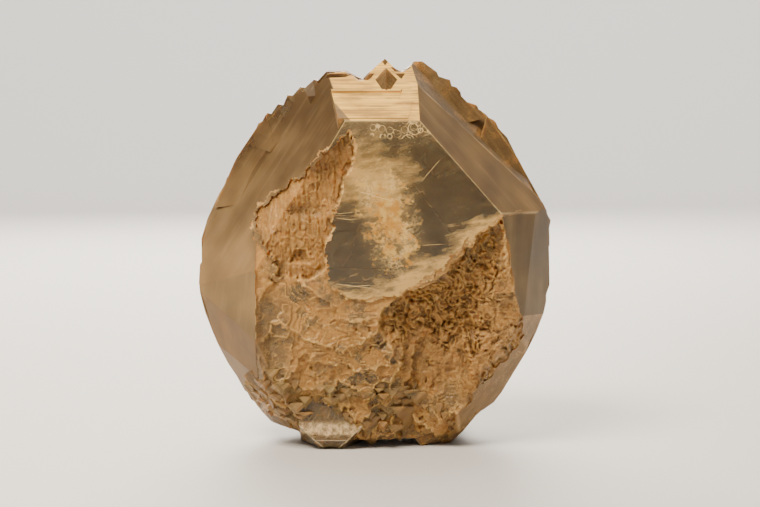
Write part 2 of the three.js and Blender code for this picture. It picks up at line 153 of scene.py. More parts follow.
# A material in the making. Its x, y and z are millimetres in the piece's own coordinates.
class Look:
    def __init__(self, name):
        self.material = bpy.data.materials.new(name)
        self.material.use_nodes = True
        self.tree = self.material.node_tree
        self.tree.nodes.clear()
        self.place = self.node("ShaderNodeTexCoord", output="Object")
        parts = [self.node("ShaderNodeSeparateXYZ", {0: self.place}, output=axis) for axis in "XYZ"]
        self.x, self.y, self.z = (part * 1000 for part in parts)

    def node(self, kind, inputs=None, output=0, **settings):
        node = self.tree.nodes.new(kind)
        for name, value in settings.items():
            setattr(node, name, value)
        for name, value in (inputs or {}).items():
            put(self.tree, value, node.inputs[name])
        return Term(self.tree, node.outputs[output])

    # Noise whose grain is `size` millimetres, stretched along axes turned by `turn` degrees up from +X.
    def noise(self, size, detail=3.0, stretch=(1.0, 1.0, 1.0), turn=0.0, rough=0.55):
        node = self.tree.nodes.new("ShaderNodeMapping")
        node.vector_type = "TEXTURE"
        node.inputs["Scale"].default_value = [size * mm * part for part in stretch]
        node.inputs["Rotation"].default_value = (0.0, math.radians(-turn), 0.0)
        put(self.tree, self.place, node.inputs["Vector"])
        turned = Term(self.tree, node.outputs[0])
        inputs = {"Vector": turned, "Scale": 1.0, "Detail": detail, "Roughness": rough}
        return self.node("ShaderNodeTexNoise", inputs)

    # The square of the distance from a point x, z, which is 1 at the reaches along x and z. The area leans to
    # the left as it rises by `slant` for each millimetre.
    def around(self, centre, reach, slant=0.0):
        across = self.x - centre[0]
        up = self.z - centre[1]
        if slant:
            across = across + up * slant
        return (across / reach[0]) ** 2 + (up / reach[1]) ** 2

    # How far inside a plane the point is, in millimetres.
    def inside(self, face):
        nx, ny, nz, offset = planeOf(*face, crystal["axis"], crystal["half"])
        size = math.sqrt(nx * nx + ny * ny + nz * nz)
        node = self.tree.nodes.new("ShaderNodeVectorMath")
        node.operation = "DOT_PRODUCT"
        put(self.tree, self.place, node.inputs[0])
        node.inputs[1].default_value = [part / size / mm for part in (nx, ny, nz)]
        return offset / size - Term(self.tree, node.outputs["Value"])

    # The distance from one face, given by its name or, on the rim, by its angle.
    def toFace(self, name):
        if name == "front":
            return (self.y + crystal["half"]).absolute()
        if name in crystal["front"]:
            return self.inside(crystal["front"][name]).absolute()
        return self.inside((name, dict(crystal["rim"])[name], 0.0)).absolute()

    # Thin lines along edges, each given by its two faces and its width.
    def edges(self, pairs):
        lines = 0.0
        for one, other, width in pairs:
            lines = self.toFace(one).most(self.toFace(other)).ramp(width, 0.0).most(lines)
        return lines

    # A thin straight line between two points x, z, on the front.
    def stroke(self, start, end, width=0.12):
        (x0, z0), (x1, z1) = start, end
        length = math.hypot(x1 - x0, z1 - z0)
        dx = (x1 - x0) / length
        dz = (z1 - z0) / length
        x = self.x - x0
        z = self.z - z0
        along = x * dx + z * dz
        across = (z * dx - x * dz).absolute()
        return across.ramp(width, 0.0) * along.ramp(-0.2, 0.6) * along.ramp(length, length * 0.6)

    # Thin curled lines at three sizes: the size, how many lines there are, and how strongly they show.
    def veins(self):
        lines = 0.0
        for size, count, share in ((3.4, 12, 0.8), (1.7, 7, 0.7), (0.9, 4, 0.4)):
            warp = self.noise(size, 3, (1.0, 1.5, 0.7), 25) * count
            line = (warp.fraction() - 0.5).absolute().ramp(0.36, 0.49)
            lines = line * self.noise(size * 1.3, 2).ramp(0.44, 0.60) * share + lines
        return lines.clamped()

    def attribute(self, name):
        return self.node("ShaderNodeAttribute", output="Fac", attribute_name=name)

    def bump(self, height, strength, distance):
        inputs = {"Height": height, "Strength": strength, "Distance": distance * mm}
        return self.node("ShaderNodeBump", inputs, output="Normal")


# The crystal's substance: clear, with absorption in its volume, or milky.
substance = {
    "ior": 1.52,
    "absorbed": (0.644, 0.444, 0.056),
    "density": 72.0,
    "clearColour": (1.0, 0.97, 0.9),
    "milkySpecular": 0.18,
    "scatter": {"Subsurface Weight": 0.4, "Subsurface Scale": 0.004, "Subsurface Radius": (1.0, 0.5, 0.22)},
}


# Clear crystal that turns milky, in `colour`, by `cloud` from 0 to 1.
def finishLook(look, cloud, colour, bump, rough=0.4, clearRough=0.04):
    clear = {"Base Color": substance["clearColour"], "Roughness": clearRough, "IOR": substance["ior"],
             "Transmission Weight": 1.0, "Normal": bump}
    milky = {"Base Color": colour, "Roughness": rough, "IOR": substance["ior"],
             "Specular IOR Level": substance["milkySpecular"], "Normal": bump, **substance["scatter"]}
    first = look.node("ShaderNodeBsdfPrincipled", clear)
    second = look.node("ShaderNodeBsdfPrincipled", milky)
    surface = look.node("ShaderNodeMixShader", {0: cloud, 1: first, 2: second})
    inputs = {"Color": substance["absorbed"], "Density": substance["density"]}
    volume = look.node("ShaderNodeVolumeAbsorption", inputs)
    end = look.tree.nodes.new("ShaderNodeOutputMaterial")
    put(look.tree, surface, end.inputs["Surface"])
    put(look.tree, volume, end.inputs["Volume"])


# The crystal's faces, as in the solid: an angle seen from the front, a reach at the front or back plane, and
# a spread in millimetres outward for each millimetre of depth.
crystal = {
    "half": 19.0,
    "axis": (0.0, 0.0, 38.3),
    "front": {
        "top": (90, 28.2, 0.7),
        "upperRight": (41.5, 25.2, 0.44),
        "upperRightOuter": (43, 26.9, 0.32),
        "right": (2, 25.2, 0.64),
        "rightOuter": (0, 26.5, 0.5),
        "upperLeft": (149, 19.6, 0.6),
        "left": (180, 23.6, 0.9),
        "lowLeftA": (202, 27.6, 0.6),
        "lowLeftB": (214, 30.5, 0.42),
        "lowLeftC": (242, 31.5, 0.6),
        "bottom": (270, 30.5, 0.75),
        "lowRightC": (298, 29.5, 0.85),
        "lowRightB": (324, 27.5, 0.62),
        "lowRightA": (341, 28.5, 0.5),
    },
    "rim": [
        (0, 35.9), (19, 35.6), (28, 35.0), (38, 35.9), (50.3, 36.2), (66, 36.4), (90, 36.3), (114, 36.4),
        (126.2, 36.0), (136.9, 35.6), (148.8, 34.6), (153.9, 34.3), (164, 35.3), (180, 35.9),
        (197.5, 36.4), (205.1, 36.8), (212.5, 37.8), (224.5, 38.6), (248, 38.2), (270, 37.2),
        (292, 37.6), (301.4, 38.8), (320, 36.9), (331, 36.35), (341.3, 36.1),
    ],
}


# A plane as (nx, ny, nz, offset) through a crystal whose axis stands at `axis`.
def planeOf(angle, reach, spread, axis, half=0.0):
    normal = np.array([math.cos(math.radians(angle)), -spread, math.sin(math.radians(angle))])
    return (*normal, reach + spread * half + normal @ np.array(axis))


def meshObject(name, points, faces):
    mesh = bpy.data.meshes.new(name)
    mesh.from_pydata([tuple(p) for p in np.asarray(points) * mm], [], [tuple(f) for f in faces])
    mesh.update()
    made = bpy.data.objects.new(name, mesh)
    bpy.context.scene.collection.objects.link(made)
    return made


# Makes one change to a mesh through bmesh.
def reshape(mesh, change):
    shape = bmesh.new()
    shape.from_mesh(mesh)
    change(shape)
    shape.to_mesh(mesh)
    shape.free()


def turnFacesOut(shape):
    bmesh.ops.recalc_face_normals(shape, faces=shape.faces)


def closeHull(shape):
    bmesh.ops.convex_hull(shape, input=shape.verts)
    turnFacesOut(shape)


def joinDoubles(shape):
    bmesh.ops.remove_doubles(shape, verts=shape.verts, dist=1e-6)


# The solid inside all of the planes.
def convexObject(name, planes):
    planes = np.array(planes)
    threes = np.array(list(itertools.combinations(range(len(planes)), 3)))
    normals, offsets = planes[threes, :3], planes[threes, 3]
    crossing = np.abs(np.linalg.det(normals)) > 1e-6
    points = np.linalg.solve(normals[crossing], offsets[crossing][..., None])[..., 0]
    inside = np.all(points @ planes[:, :3].T <= planes[:, 3] + 1e-6, axis=1)
    points = np.unique(points[inside].round(5), axis=0)
    made = meshObject(name, points, [])
    reshape(made.data, closeHull)
    return made


def bake(target):
    graph = bpy.context.evaluated_depsgraph_get()
    result = target.evaluated_get(graph)
    mesh = bpy.data.meshes.new_from_object(result, preserve_all_data_layers=True, depsgraph=graph)
    target.modifiers.clear()
    target.data = mesh


# One boolean with all the others at once, which are then gone.
def combine(target, operation, others):
    group = bpy.data.collections.new("operands")
    bpy.context.scene.collection.children.link(group)
    for other in others:
        group.objects.link(other)
    change = target.modifiers.new("combine", "BOOLEAN")
    change.operand_type = "COLLECTION"
    change.collection = group
    change.solver = "MANIFOLD"
    change.operation = operation
    bake(target)
    for other in others:
        bpy.data.objects.remove(other)
    bpy.data.collections.remove(group)


# Smooth noise between -1 and 1 on a lattice of one unit.
def valueNoise(x, z, seed):
    table = np.random.default_rng(seed).random((64, 64)) * 2 - 1
    ix, iz = np.floor(x).astype(int), np.floor(z).astype(int)
    fx, fz = x - ix, z - iz
    fx, fz = fx * fx * (3 - 2 * fx), fz * fz * (3 - 2 * fz)
    low = table[ix % 64, iz % 64] * (1 - fx) + table[(ix + 1) % 64, iz % 64] * fx
    high = table[ix % 64, (iz + 1) % 64] * (1 - fx) + table[(ix + 1) % 64, (iz + 1) % 64] * fx
    return low * (1 - fz) + high * fz


def fractal(x, z, seed, octaves=3):
    total = sum(valueNoise(x * 2**k + 7.3 * k, z * 2**k - 3.1 * k, seed + k) / 2**k for k in range(octaves))
    return total / 1.5


def smooth(value, start, end):
    share = np.clip((value - start) / (end - start), 0, 1)
    return share * share * (3 - 2 * share)


# Terraces: flats with short slopes between them, one for each whole number.
def stepped(value, slope=0.18):
    whole = np.floor(value)
    return whole + smooth(value - whole, 1 - slope, 1)


# How far the points lie inside an outline, negative outside it.
def insideBy(outline, x, z):
    nearest = np.full(x.shape, np.inf)
    inside = np.zeros(x.shape, bool)
    for (x0, z0), (x1, z1) in zip(outline[-1:] + outline[:-1], outline):
        dx, dz = x1 - x0, z1 - z0
        along = np.clip(((x - x0) * dx + (z - z0) * dz) / (dx * dx + dz * dz), 0, 1)
        nearest = np.minimum(nearest, np.hypot(x - x0 - along * dx, z - z0 - along * dz))
        crosses = ((z0 > z) != (z1 > z)) & (x < x0 + (z - z0) * dx / (dz if dz else 1e-9))
        inside ^= crosses
    return np.where(inside, nearest, -nearest)


# The etched front: ledges as (depth, edge), each lying below its edge, two hollows, a pocket as (x, z,
# radius, depth), the straight border at the left, and the depth where nothing is etched.
etching = {
    "area": (-25.2, 30.8, -1.5, 64.8),
    "step": 0.19,
    "ledges": [
        (0.7, [
            (-24.6, 45), (-22.4, 42.5), (-20.6, 39.8), (-9.9, 39.6), (-9, 34.1), (-6, 31.7),
            (-1.1, 31.1), (4.8, 32.5), (10.7, 35.5), (17.6, 42), (24.8, 47.8), (31, 48),
        ]),
        (1.6, [
            (-24.6, 28), (-22.6, 31), (-20.2, 35.9), (-18, 37), (-15.1, 34.8), (-11.2, 32.1),
            (-8.8, 31.1), (-7, 27.5), (-4.6, 26.7), (0.5, 27.5), (4.3, 29.7), (10.7, 33.4),
            (17.6, 39.6), (24.8, 45.6), (31, 46),
        ]),
        (2.6, [
            (-24.6, 17.6), (-22.8, 20.5), (-20.5, 26.8), (-18.1, 26.1), (-14.6, 23.1), (-9, 21.9),
            (-6.1, 20.5), (0.3, 24.9), (1.5, 29), (7.3, 31.6), (14.8, 35.6), (24.8, 44), (31, 44),
        ]),
        (3.7, [
            (-24.6, 15.3), (-21.3, 16.2), (-18.1, 14), (-16.5, 15.4), (-14.2, 20.8), (-12, 17.8),
            (-8.1, 18.4), (-3.1, 16.4), (2.2, 17.8), (3.9, 20.4), (4.7, 26.2), (7.3, 30.4), (14.8, 34),
            (31, 38),
        ]),
        (5.1, [
            (-24.6, 13.8), (-21.3, 14.7), (-18.1, 12.3), (-16.5, 13.5), (-11.5, 12.8), (-7.1, 14),
            (-3.9, 12.7), (-1.3, 11), (-0.5, 13.3), (3.3, 15.2), (5.2, 18.2), (6.0, 24), (9, 28.5),
            (16, 31.5), (31, 32),
        ]),
        (6.7, [
            (-24.6, 10.8), (-21.6, 9.3), (-19.2, 11.1), (-16, 8.1), (-12.8, 11), (-7.1, 8.8),
            (-3.1, 6), (0.9, 9.4), (4, 11.5), (7.4, 14.5), (8, 22), (12, 26), (17, 25), (19.5, 16),
            (24, 14), (31, 18),
        ]),
        (8.4, [
            (-24.6, 6.5), (-18.5, 8.6), (-15.3, 5.8), (-11.6, 8.5), (-7.2, 5.3), (-4.8, 3),
            (-2.3, 5.6), (-0.1, 2.8), (2.1, 5.4), (4.6, 9.6), (7.4, 11), (10.5, 7.4), (12.9, 6),
            (16, 7), (18.9, 5.6), (31, 6),
        ]),
        (10.4, [
            (-24.6, 4), (-19.5, 5.6), (-16.5, 2.8), (-12.2, 4.6), (-8.2, 2.3), (-5.8, 0.4),
            (-2.9, 2.6), (-0.6, 0.4), (1.6, 2.4), (4.2, 4.4), (7.2, 7.2), (9.4, 4.4), (12.4, 2.4),
            (15.4, 4.2), (18.4, 3.4), (31, 3),
        ]),
    ],
    "leftHollow": [
        (-5.2, 64.2), (-7.2, 63.4), (-8.4, 61.6), (-11.2, 59.2), (-15.2, 55.2), (-20.8, 51.4),
        (-23.6, 49), (-24.6, 45.8), (-22.8, 42.7), (-20.4, 39.6), (-19.8, 36), (-13, 34.5),
        (-9.8, 37.6), (-9.8, 41.9), (-8.4, 46.4), (-6.3, 52.8), (-4.8, 57.5), (-4.0, 61),
    ],
    "rightHollow": [
        (24.9, 47.6), (20.7, 44.3), (17.8, 41.3), (14.8, 37.7), (10.8, 34.7), (7.3, 33.3), (4.3, 31.7),
        (1.5, 29.3), (0.3, 26.3), (1.5, 23.7), (3.3, 20.6), (4.5, 18.2), (3.3, 15.2), (1.6, 10.5),
        (5, 7), (12.9, 6.5), (18.9, 9), (24, 14.5), (27.6, 18.6), (30.2, 22.6), (29.8, 25.4),
        (28, 30.4), (26.6, 36), (25.6, 41),
    ],
    "pocket": (-15.0, 39.6, 1.6, 0.9),
    "border": -23.7,
    "untouched": -3.0,
}


# How far behind the front plane the uncut front lies.
def surfaceDepth(x, z):
    depth = np.zeros(x.shape)
    for face in crystal["front"].values():
        nx, ny, nz, offset = planeOf(*face, crystal["axis"], crystal["half"])
        depth = np.maximum(depth, (nx * x + nz * z - offset) / -ny + crystal["half"])
    return depth


# A jagged line, between 0 and 1, with its teeth about `period` apart.
def zigzag(x, period, seed):
    turn = x / period + 0.4 * valueNoise(x / period / 1.7, 0 * x, seed)
    return 2 * np.abs(turn - np.floor(turn) - 0.5)


# 1 between `start` and `end`, falling to 0 over `soft` to either side of each.
def band(value, start, end, soft=0.12):
    return smooth(value, start - soft, start + soft) * (1 - smooth(value, end - soft, end + soft))


# Terraces with a thin lip along each edge: (what they add to the depth, their lips, which are painted pale
# partly as a highlight, the foot of each step, which gets painted shade).
def terraces(field, height, slope=0.12, lip=0.06):
    part = field - np.floor(field)
    crest = band(part, 1 - slope - lip, 1 - slope * 0.6, 0.04)
    foot = 1 - smooth(part, 0, 0.16)
    return height * (stepped(field, slope) - field) - 0.3 * height * crest, crest, foot


# The same places, moved a little, so that what is drawn at them gets ragged edges, with teeth low down.
def ragged(x, z):
    low = smooth(z, 26, 6)
    wx = x + 0.7 * fractal(x / 1.9, z / 1.9, 11) + 0.25 * valueNoise(x / 0.5, z / 0.5, 12)
    wz = z + 0.8 * fractal(x / 1.6, z / 1.6, 15) + 0.25 * valueNoise(x / 0.45, z / 0.45, 19)
    wz = wz - low * (1.5 * zigzag(x, 5.2, 61) + 0.8 * zigzag(x + 0.3 * z, 1.9, 63)) + 1.1 * low
    return wx, wz


# The ledges: their depth, their lips, painted pale partly as a highlight, their dips, which get painted
# shade, and how far each point lies below the first edge.
def ledgeRelief(wx, wz):
    lips, dips, depth = np.zeros(wx.shape), np.zeros(wx.shape), np.zeros(wx.shape)
    first = None
    above = 0.0
    for level, edge in etching["ledges"]:
        edgeX, edgeZ = zip(*edge)
        under = np.interp(wx, edgeX, edgeZ) - wz
        first = under if first is None else first
        depth += (level - above) * (0.35 * smooth(under, 0, 0.3) + 0.65 * smooth(under, 0, 3.0))
        depth -= 0.12 * band(under, -0.35, 0.05)
        lips = np.maximum(lips, band(under, -0.32, 0.1, 0.12))
        # painted shade just below each edge, at the foot of its slope
        dips = np.maximum(dips, 0.6 * band(under, 0.3, 0.8, 0.25))
        above = level
    return depth, lips, dips, first


# Broad and fine terraces, lumps and pits on the ledges. They are calmer at the left.
def plateRelief(x, z, shell, depth, lips, dips):
    plates = smooth(depth - shell, 0.3, 1.0)
    bent = x + 1.6 * fractal(x / 3.1, z / 3.1, 85)
    calm = 1 - 0.6 * smooth(x, -13, -18) * smooth(z, 14, 20)
    broad = (fractal(bent / 6.4 + 3, z / 4.2, 23, 4) * 3.2 + 0.16 * (z - x * 0.5)) * calm
    broad = broad - smooth(z, 26, 6) * 1.1 * zigzag(x, 3.4, 65)
    teeth = smooth(x, -9, -13) * smooth(z, 15, 10)
    broad += teeth * 2.2 * zigzag(x * 0.75 + z * 0.66, 1.7, 67)
    fine = fractal(bent / 3.0, z / 1.8, 71) * 2.0 * calm + 0.8 * broad
    for field, height, share in ((broad, 0.30, 1.0), (fine, 0.08, 0.4)):
        added, crest, foot = terraces(field, height)
        depth = depth + plates * added
        # Crests get pale lips, partly painted highlight, and the feet of the terraces get painted shade.
        lips = np.maximum(lips, plates * crest * share)
        dips = np.maximum(dips, plates * foot * 0.45 * share)
    depth = depth + plates * (0.05 * fractal(x / 0.7, z / 0.9, 27) + 0.35 * fractal(x / 7, z / 7, 29))
    pits = smooth(fractal(x / 1.3, z / 1.7, 73), 0.45, 0.7) * smooth(fractal(x / 6, z / 6, 75), 0.0, 0.35)
    depth = depth + plates * pits * 0.6
    # Painted shade in the pits.
    dips = np.maximum(dips, plates * pits)
    shown = 0.35 + 0.65 * smooth(fractal(x / 3.2, z / 3.2, 89), -0.45, 0.35)
    lips = lips * (shown * (1 - 0.6 * smooth(x, -20, -23) * smooth(z, 14, 20)))
    return depth, lips, dips


# The left hollow: upright fibres, with chunks broken out and one gap across it.
def leftRelief(x, z, inside, shell):
    fibres = valueNoise((x + 0.12 * z) / 0.42, z / 3.4, 31)
    fibres += 0.7 * valueNoise((x + 0.1 * z) / 0.24, z / 1.6, 33)
    chunks, crest, foot = terraces(fractal(x / 2.4, z / 5.0, 35) * 2.6 + 0.2 * x, 0.36, 0.16)
    cross = band(z, 47.5, 49.5, 0.8) * band(x, -18, -11, 1.5)
    depth = np.maximum(2.5 + 0.13 * inside, shell + 1.1) - 1.0 * smooth(z, 57, 61)
    depth += chunks + 0.2 * fibres + 0.16 * fractal(x / 0.7, z / 0.9, 37) + 0.7 * cross
    shelf = smooth(inside + 0.5 * fractal(x / 1.2, z / 1.2, 77), 0, 0.35)
    # Crests and fibres make pale marks, the crests partly as painted highlight; the feet of the chunks and the
    # gap across get painted shade.
    marks = np.clip(0.25 * crest + 0.25 * fibres, 0, 1)
    lips = np.maximum(marks, 0.7 * band(inside, -0.3, 0.2))
    dips = np.clip(0.45 * foot - 0.5 * fibres + 0.8 * cross, 0, 1)
    return depth * shelf, lips, dips


# The right hollow: curled walls on tiers, which get deeper towards its middle.
def rightRelief(x, z, inside, shell):
    curlX = x + 1.3 * fractal(x / 2.6, z / 2.6, 91)
    curlZ = z + 1.3 * fractal(x / 2.6, z / 2.6, 93)
    walls = 1 - np.abs(fractal(curlX / 0.95 + 0.25 * curlZ, curlZ / 2.2, 41, 3)) * 2.6
    walls += 0.8 * (1 - np.abs(fractal(curlX / 0.62, curlZ / 1.0, 45, 2)) * 2.6)
    tiers, crest, foot = terraces(fractal(x / 3.8, z / 3.0, 49) * 2.8 + 0.12 * z, 0.6, 0.16)
    depth = np.maximum(2.7 + 0.40 * inside, shell + 0.4 + 0.8 * smooth(inside, 0, 2.5))
    depth += (tiers - 0.42 * (walls - 0.6)) * (0.3 + 0.7 * smooth(inside, 0, 2.0))
    depth += 0.12 * fractal(x / 0.6, z / 0.6, 51)
    shelf = smooth(inside + 0.4 * fractal(x / 1.2, z / 1.2, 79), 0, 0.4)
    # The wall tops and crests are pale, partly painted highlight; low between the walls and at the foot of
    # each tier shade is painted, more of it further inside.
    marks = np.maximum(smooth(walls, 1.15, 1.6), 0.6 * crest)
    marks = marks * (0.35 + 0.5 * smooth(fractal(x / 4, z / 4, 87), -0.3, 0.4))
    lips = np.maximum(marks, 0.8 * band(inside, -0.3, 0.5))
    dips = np.clip(smooth(walls, 0.9, -0.2) + 0.4 * foot, 0, 1) * (0.25 + 0.75 * smooth(inside, 0, 5))
    return depth * shelf, lips, dips


# The etched front as depths behind the front plane, with its light lips, partly painted highlight, the painted
# shade of its dips and its brown hollows.
def etchedRelief(x, z):
    wx, wz = ragged(x, z)
    shell = surfaceDepth(x, z)
    depth, lips, dips, outer = ledgeRelief(wx, wz)
    lower = (outer > 0.1) & (wx > -24.2) & ((wx < 6) | ((wz < 9.5) & (wx < 15)))
    depth = np.where(lower, np.maximum(depth, shell + 0.2 + 0.4 * smooth(wx, -24, -20.5)), depth)
    depth, lips, dips = plateRelief(x, z, shell, depth, lips, dips)

    insideLeft = insideBy(etching["leftHollow"], wx, wz)
    insideRight = insideBy(etching["rightHollow"], wx, wz)
    for inside, relief in ((insideLeft, leftRelief), (insideRight, rightRelief)):
        hollowDepth, hollowLipsAndHighlights, hollowDipShade = relief(x, z, inside, shell)
        depth = np.where(inside > 0, np.maximum(depth, hollowDepth), depth)
        lips = np.where(inside > 0, hollowLipsAndHighlights, lips)
        dips = np.where(inside > 0, hollowDipShade, dips)

    px, pz, radius, deep = etching["pocket"]
    toPocket = np.maximum(np.abs(x - px) + 0.35 * (z - pz), np.abs(z - pz) * 1.2) / radius
    depth = depth + deep * smooth(toPocket, 1.0, 0.7)
    lips = np.maximum(lips, band(toPocket, 0.98, 1.25, 0.06))
    dips = np.where(toPocket < 0.9, 0.15, dips)

    # a pale lip, partly painted highlight, just below the surface, goes around what was etched
    around = np.maximum(np.maximum(insideLeft, insideRight), outer)
    wide = 0.40 + 0.45 * fractal(x / 2.3, z / 2.3, 81)
    lip = (around > -wide) & (around <= 0.05)
    depth = np.where(lip, np.maximum(depth, shell + 0.1 + 0.05 * fractal(x / 0.6, z / 0.6, 83)), depth)
    lips = np.where(lip, 0.3 + 0.35 * band(around, -0.4, 0.1, 0.2), lips)
    dips = dips * (1 - smooth(wx, -22.6, -23.8) * (z < 42))
    dark = smooth(insideRight, -0.2, 1.0) * (0.45 + 0.55 * smooth(insideRight, 1, 7))
    dark = dark * (0.55 + 0.45 * smooth(z, 12, 22))
    hollow = np.maximum(0.85 * smooth(insideLeft, -0.2, 0.6), dark)

    # at the left the etching rises to the face and ends at a straight line
    border = etching["border"]
    outside = insideLeft <= 0
    slanted = shell + 0.25 + 0.9 * np.maximum(x - border, 0)
    depth = np.where((z > 13) & (z < 42) & (x < -20) & outside, np.minimum(depth, slanted), depth)
    beyond = (x + 0.15 * valueNoise(x, z / 1.5, 95) < border) & (z > 12.5) & (z < 42.5) & outside
    depth = np.where((depth > shell + 0.03) & ~beyond, depth, etching["untouched"])
    return depth, {"lips": lips, "dips": dips, "hollow": hollow}


def gridMap():
    left, right, bottom, top = etching["area"]
    columns = int((right - left) / etching["step"])
    rows = int((top - bottom) / etching["step"])
    xs, zs = np.linspace(left, right, columns + 1), np.linspace(bottom, top, rows + 1)
    x, z = np.meshgrid(xs, zs, indexing="ij")
    return xs, zs, *etchedRelief(x, z)


# The grid's values averaged over squares that reach so many steps to each side.
def blurred(values, reach):
    for axis in (0, 1):
        padded = np.concatenate([np.repeat(values.take([0], axis), reach, axis), values,
                                 np.repeat(values.take([-1], axis), reach, axis)], axis)
        total = np.cumsum(padded, axis)
        first = np.zeros_like(total.take([0], axis))
        total = np.concatenate([first, total], axis)
        size, width = values.shape[axis], 2 * reach + 1
        values = (total.take(range(width, width + size), axis) - total.take(range(size), axis)) / width
    return values


gridX, gridZ, gridDepth, gridMarks = gridMap()
print("etched surface", gridDepth.shape)


# The grid's column and row nearest to each point.
def gridPlace(x, z):
    column = np.clip(np.rint((x - gridX[0]) / (gridX[1] - gridX[0])).astype(int), 0, len(gridX) - 1)
    row = np.clip(np.rint((z - gridZ[0]) / (gridZ[1] - gridZ[0])).astype(int), 0, len(gridZ) - 1)
    return column, row


# What etching took: the space in front of the etched surface.
def etchedBlock():
    columns, rows = gridDepth.shape
    x, z = np.meshgrid(gridX, gridZ, indexing="ij")
    rear = np.stack([x, gridDepth - crystal["half"], z], -1).reshape(-1, 3)
    front = np.stack([x, np.full(x.shape, -25.0), z], -1).reshape(-1, 3)
    index = np.arange(columns * rows).reshape(columns, rows)
    a, b, c, d = (index[:-1, :-1], index[1:, :-1], index[1:, 1:], index[:-1, 1:])
    rearFaces = np.stack([a, d, c, b], -1).reshape(-1, 4)
    ring = np.concatenate([index[:, 0], index[-1, 1:], index[-2::-1, -1], index[0, -2:0:-1]])
    following = np.roll(ring, -1)
    walls = np.stack([ring, following, following + len(rear), ring + len(rear)], -1)
    used = np.concatenate([np.arange(len(rear)), ring + len(rear)])
    number = np.full(2 * len(rear), -1)
    number[used] = np.arange(len(used))
    points = np.concatenate([rear, front])[used]
    faces = [*number[rearFaces].tolist(), *number[walls].tolist(), number[ring[::-1] + len(rear)].tolist()]
    made = meshObject("etchedBlock", points, faces)
    reshape(made.data, turnFacesOut)
    return made


def slabObject(name, low, high):
    (x0, y0, z0), (x1, y1, z1) = low, high
    return convexObject(name, [(1, 0, 0, x1), (-1, 0, 0, -x0), (0, 1, 0, y1), (0, -1, 0, -y0), (0, 0, 1, z1),
                               (0, 0, -1, -z0)])


# The parts of the surface that look different. What belongs to none is rim.
zones = {name: Look(name) for name in (
    "rim", "etched", "window", "top", "upperLeft", "left", "lowLeft", "upperRight", "right", "lowRight",
    "back", "foot", "tips")}


# Each face of a piece carries the number of its zone through the booleans.
zoneNumber = {name: number for number, name in enumerate(zones)}


def markZone(made, name):
    layer = made.data.attributes.new("zone", "INT", "FACE")
    layer.data.foreach_set("value", np.full(len(made.data.polygons), zoneNumber[name], np.int32))


# The clear crystal at the foot, in the same pose as the large one. The resting plane cuts its lower corner.
footCrystal = {
    "x": -8.9, "front": -13.4, "back": -3.5, "reach": 6.4, "root": 9.0,
    "sunk": 1.6, "corner": 2.1, "lowCorner": 3.6,
}


def clearFoot():
    reach = footCrystal["reach"]
    half = -footCrystal["front"]
    axis = (footCrystal["x"], 0.0, reach - footCrystal["sunk"])
    faces = [
        planeOf(225, reach - footCrystal["corner"], 0.35, axis, half),
        planeOf(315, reach - footCrystal["corner"], 0.35, axis, half),
        planeOf(270, reach - footCrystal["lowCorner"], 1.0, axis, half),
        planeOf(180, reach, 0.0, axis),
        planeOf(0, reach, 0.0, axis),
        planeOf(90, footCrystal["root"], 0.0, axis),
        (0, -1, 0, half),
        (0, 1, 0, footCrystal["back"]),
        (0, 0, -1, 0),
    ]
    return convexObject("clearFoot", faces)


# A tip as in the solid: its point, its half thickness and the angles of its two sides.
def tipObject(x, height, y, half, first, second, root=6.0, floor=0.0):
    apex = (x, y, height)
    faces = [planeOf(a, 0.0, s * 0.85, apex) for a in (first, second) for s in (1, -1)]
    inward = (first + second) / 2 + 180
    faces += [planeOf(inward + turn, root, 0.0, apex) for turn in (-50, 0, 50)]
    return convexObject("tip", [*faces, (0, -1, 0, half - y), (0, 1, 0, y + half), (0, 0, -1, -floor)])


# Tips that point down out of the etched front, as in the solid.
frontTips = [
    (-3.6, 5.6, -10.6, 3.2, 226, 314), (3.8, 7.2, -11.0, 3.2, 228, 312), (-0.9, 0.9, -10.0, 3.4, 226, 314),
    (5.6, 2.6, -8.6, 3.0, 230, 312), (-17.0, 6.4, -10.4, 2.6, 224, 308), (-20.6, 8.0, -10.6, 2.4, 222, 300),
    (-15.2, 3.0, -9.0, 3.0, 226, 312), (-12.6, 9.4, -12.6, 2.2, 226, 314),
]


# How the solid's front is made anew. The block `cut` is taken off it. An even crystal fills it again, a little
# outside the faces and inside the rim, and ends `gap` behind the front plane. It is then etched. `shave` takes
# off what stands more than `above` over the top face, between its other values.
renewal = {
    "cut": {"low": (-60, -30, -10), "high": (60, -18.9, 100)},
    "gap": 0.005,
    "outsideFaces": 0.01,
    "insideRim": 0.53,
    "back": 6.0,
    "bottom": 0.02,
    "shave": {"above": 0.1, "thick": 3.0, "left": -9.6, "right": 13.6, "high": 72.0, "front": -19.5},
}


# The block above the top face in which nothing stays.
def shaveBlock():
    shave = renewal["shave"]
    angle, reach, spread = crystal["front"]["top"]
    above = np.array(planeOf(angle, reach + shave["above"], spread, crystal["axis"], crystal["half"]))
    return convexObject("shave", [
        -above, above + np.array([0, 0, 0, shave["thick"]]), (1, 0, 0, shave["right"]),
        (-1, 0, 0, -shave["left"]), (0, 0, 1, shave["high"]), (0, -1, 0, -shave["front"])])


# The even crystal that fills the place of the front.
def refillBlock():
    axis, half = crystal["axis"], crystal["half"]
    outside, within = renewal["outsideFaces"], renewal["insideRim"]
    fronts = crystal["front"].values()
    faces = [planeOf(angle, reach + outside, spread, axis, half) for angle, reach, spread in fronts]
    faces += [planeOf(angle, reach - within, 0.0, axis) for angle, reach in crystal["rim"]]
    faces += [(0, -1, 0, half - renewal["gap"]), (0, 1, 0, renewal["back"]), (0, 0, -1, -renewal["bottom"])]
    return convexObject("refill", faces)


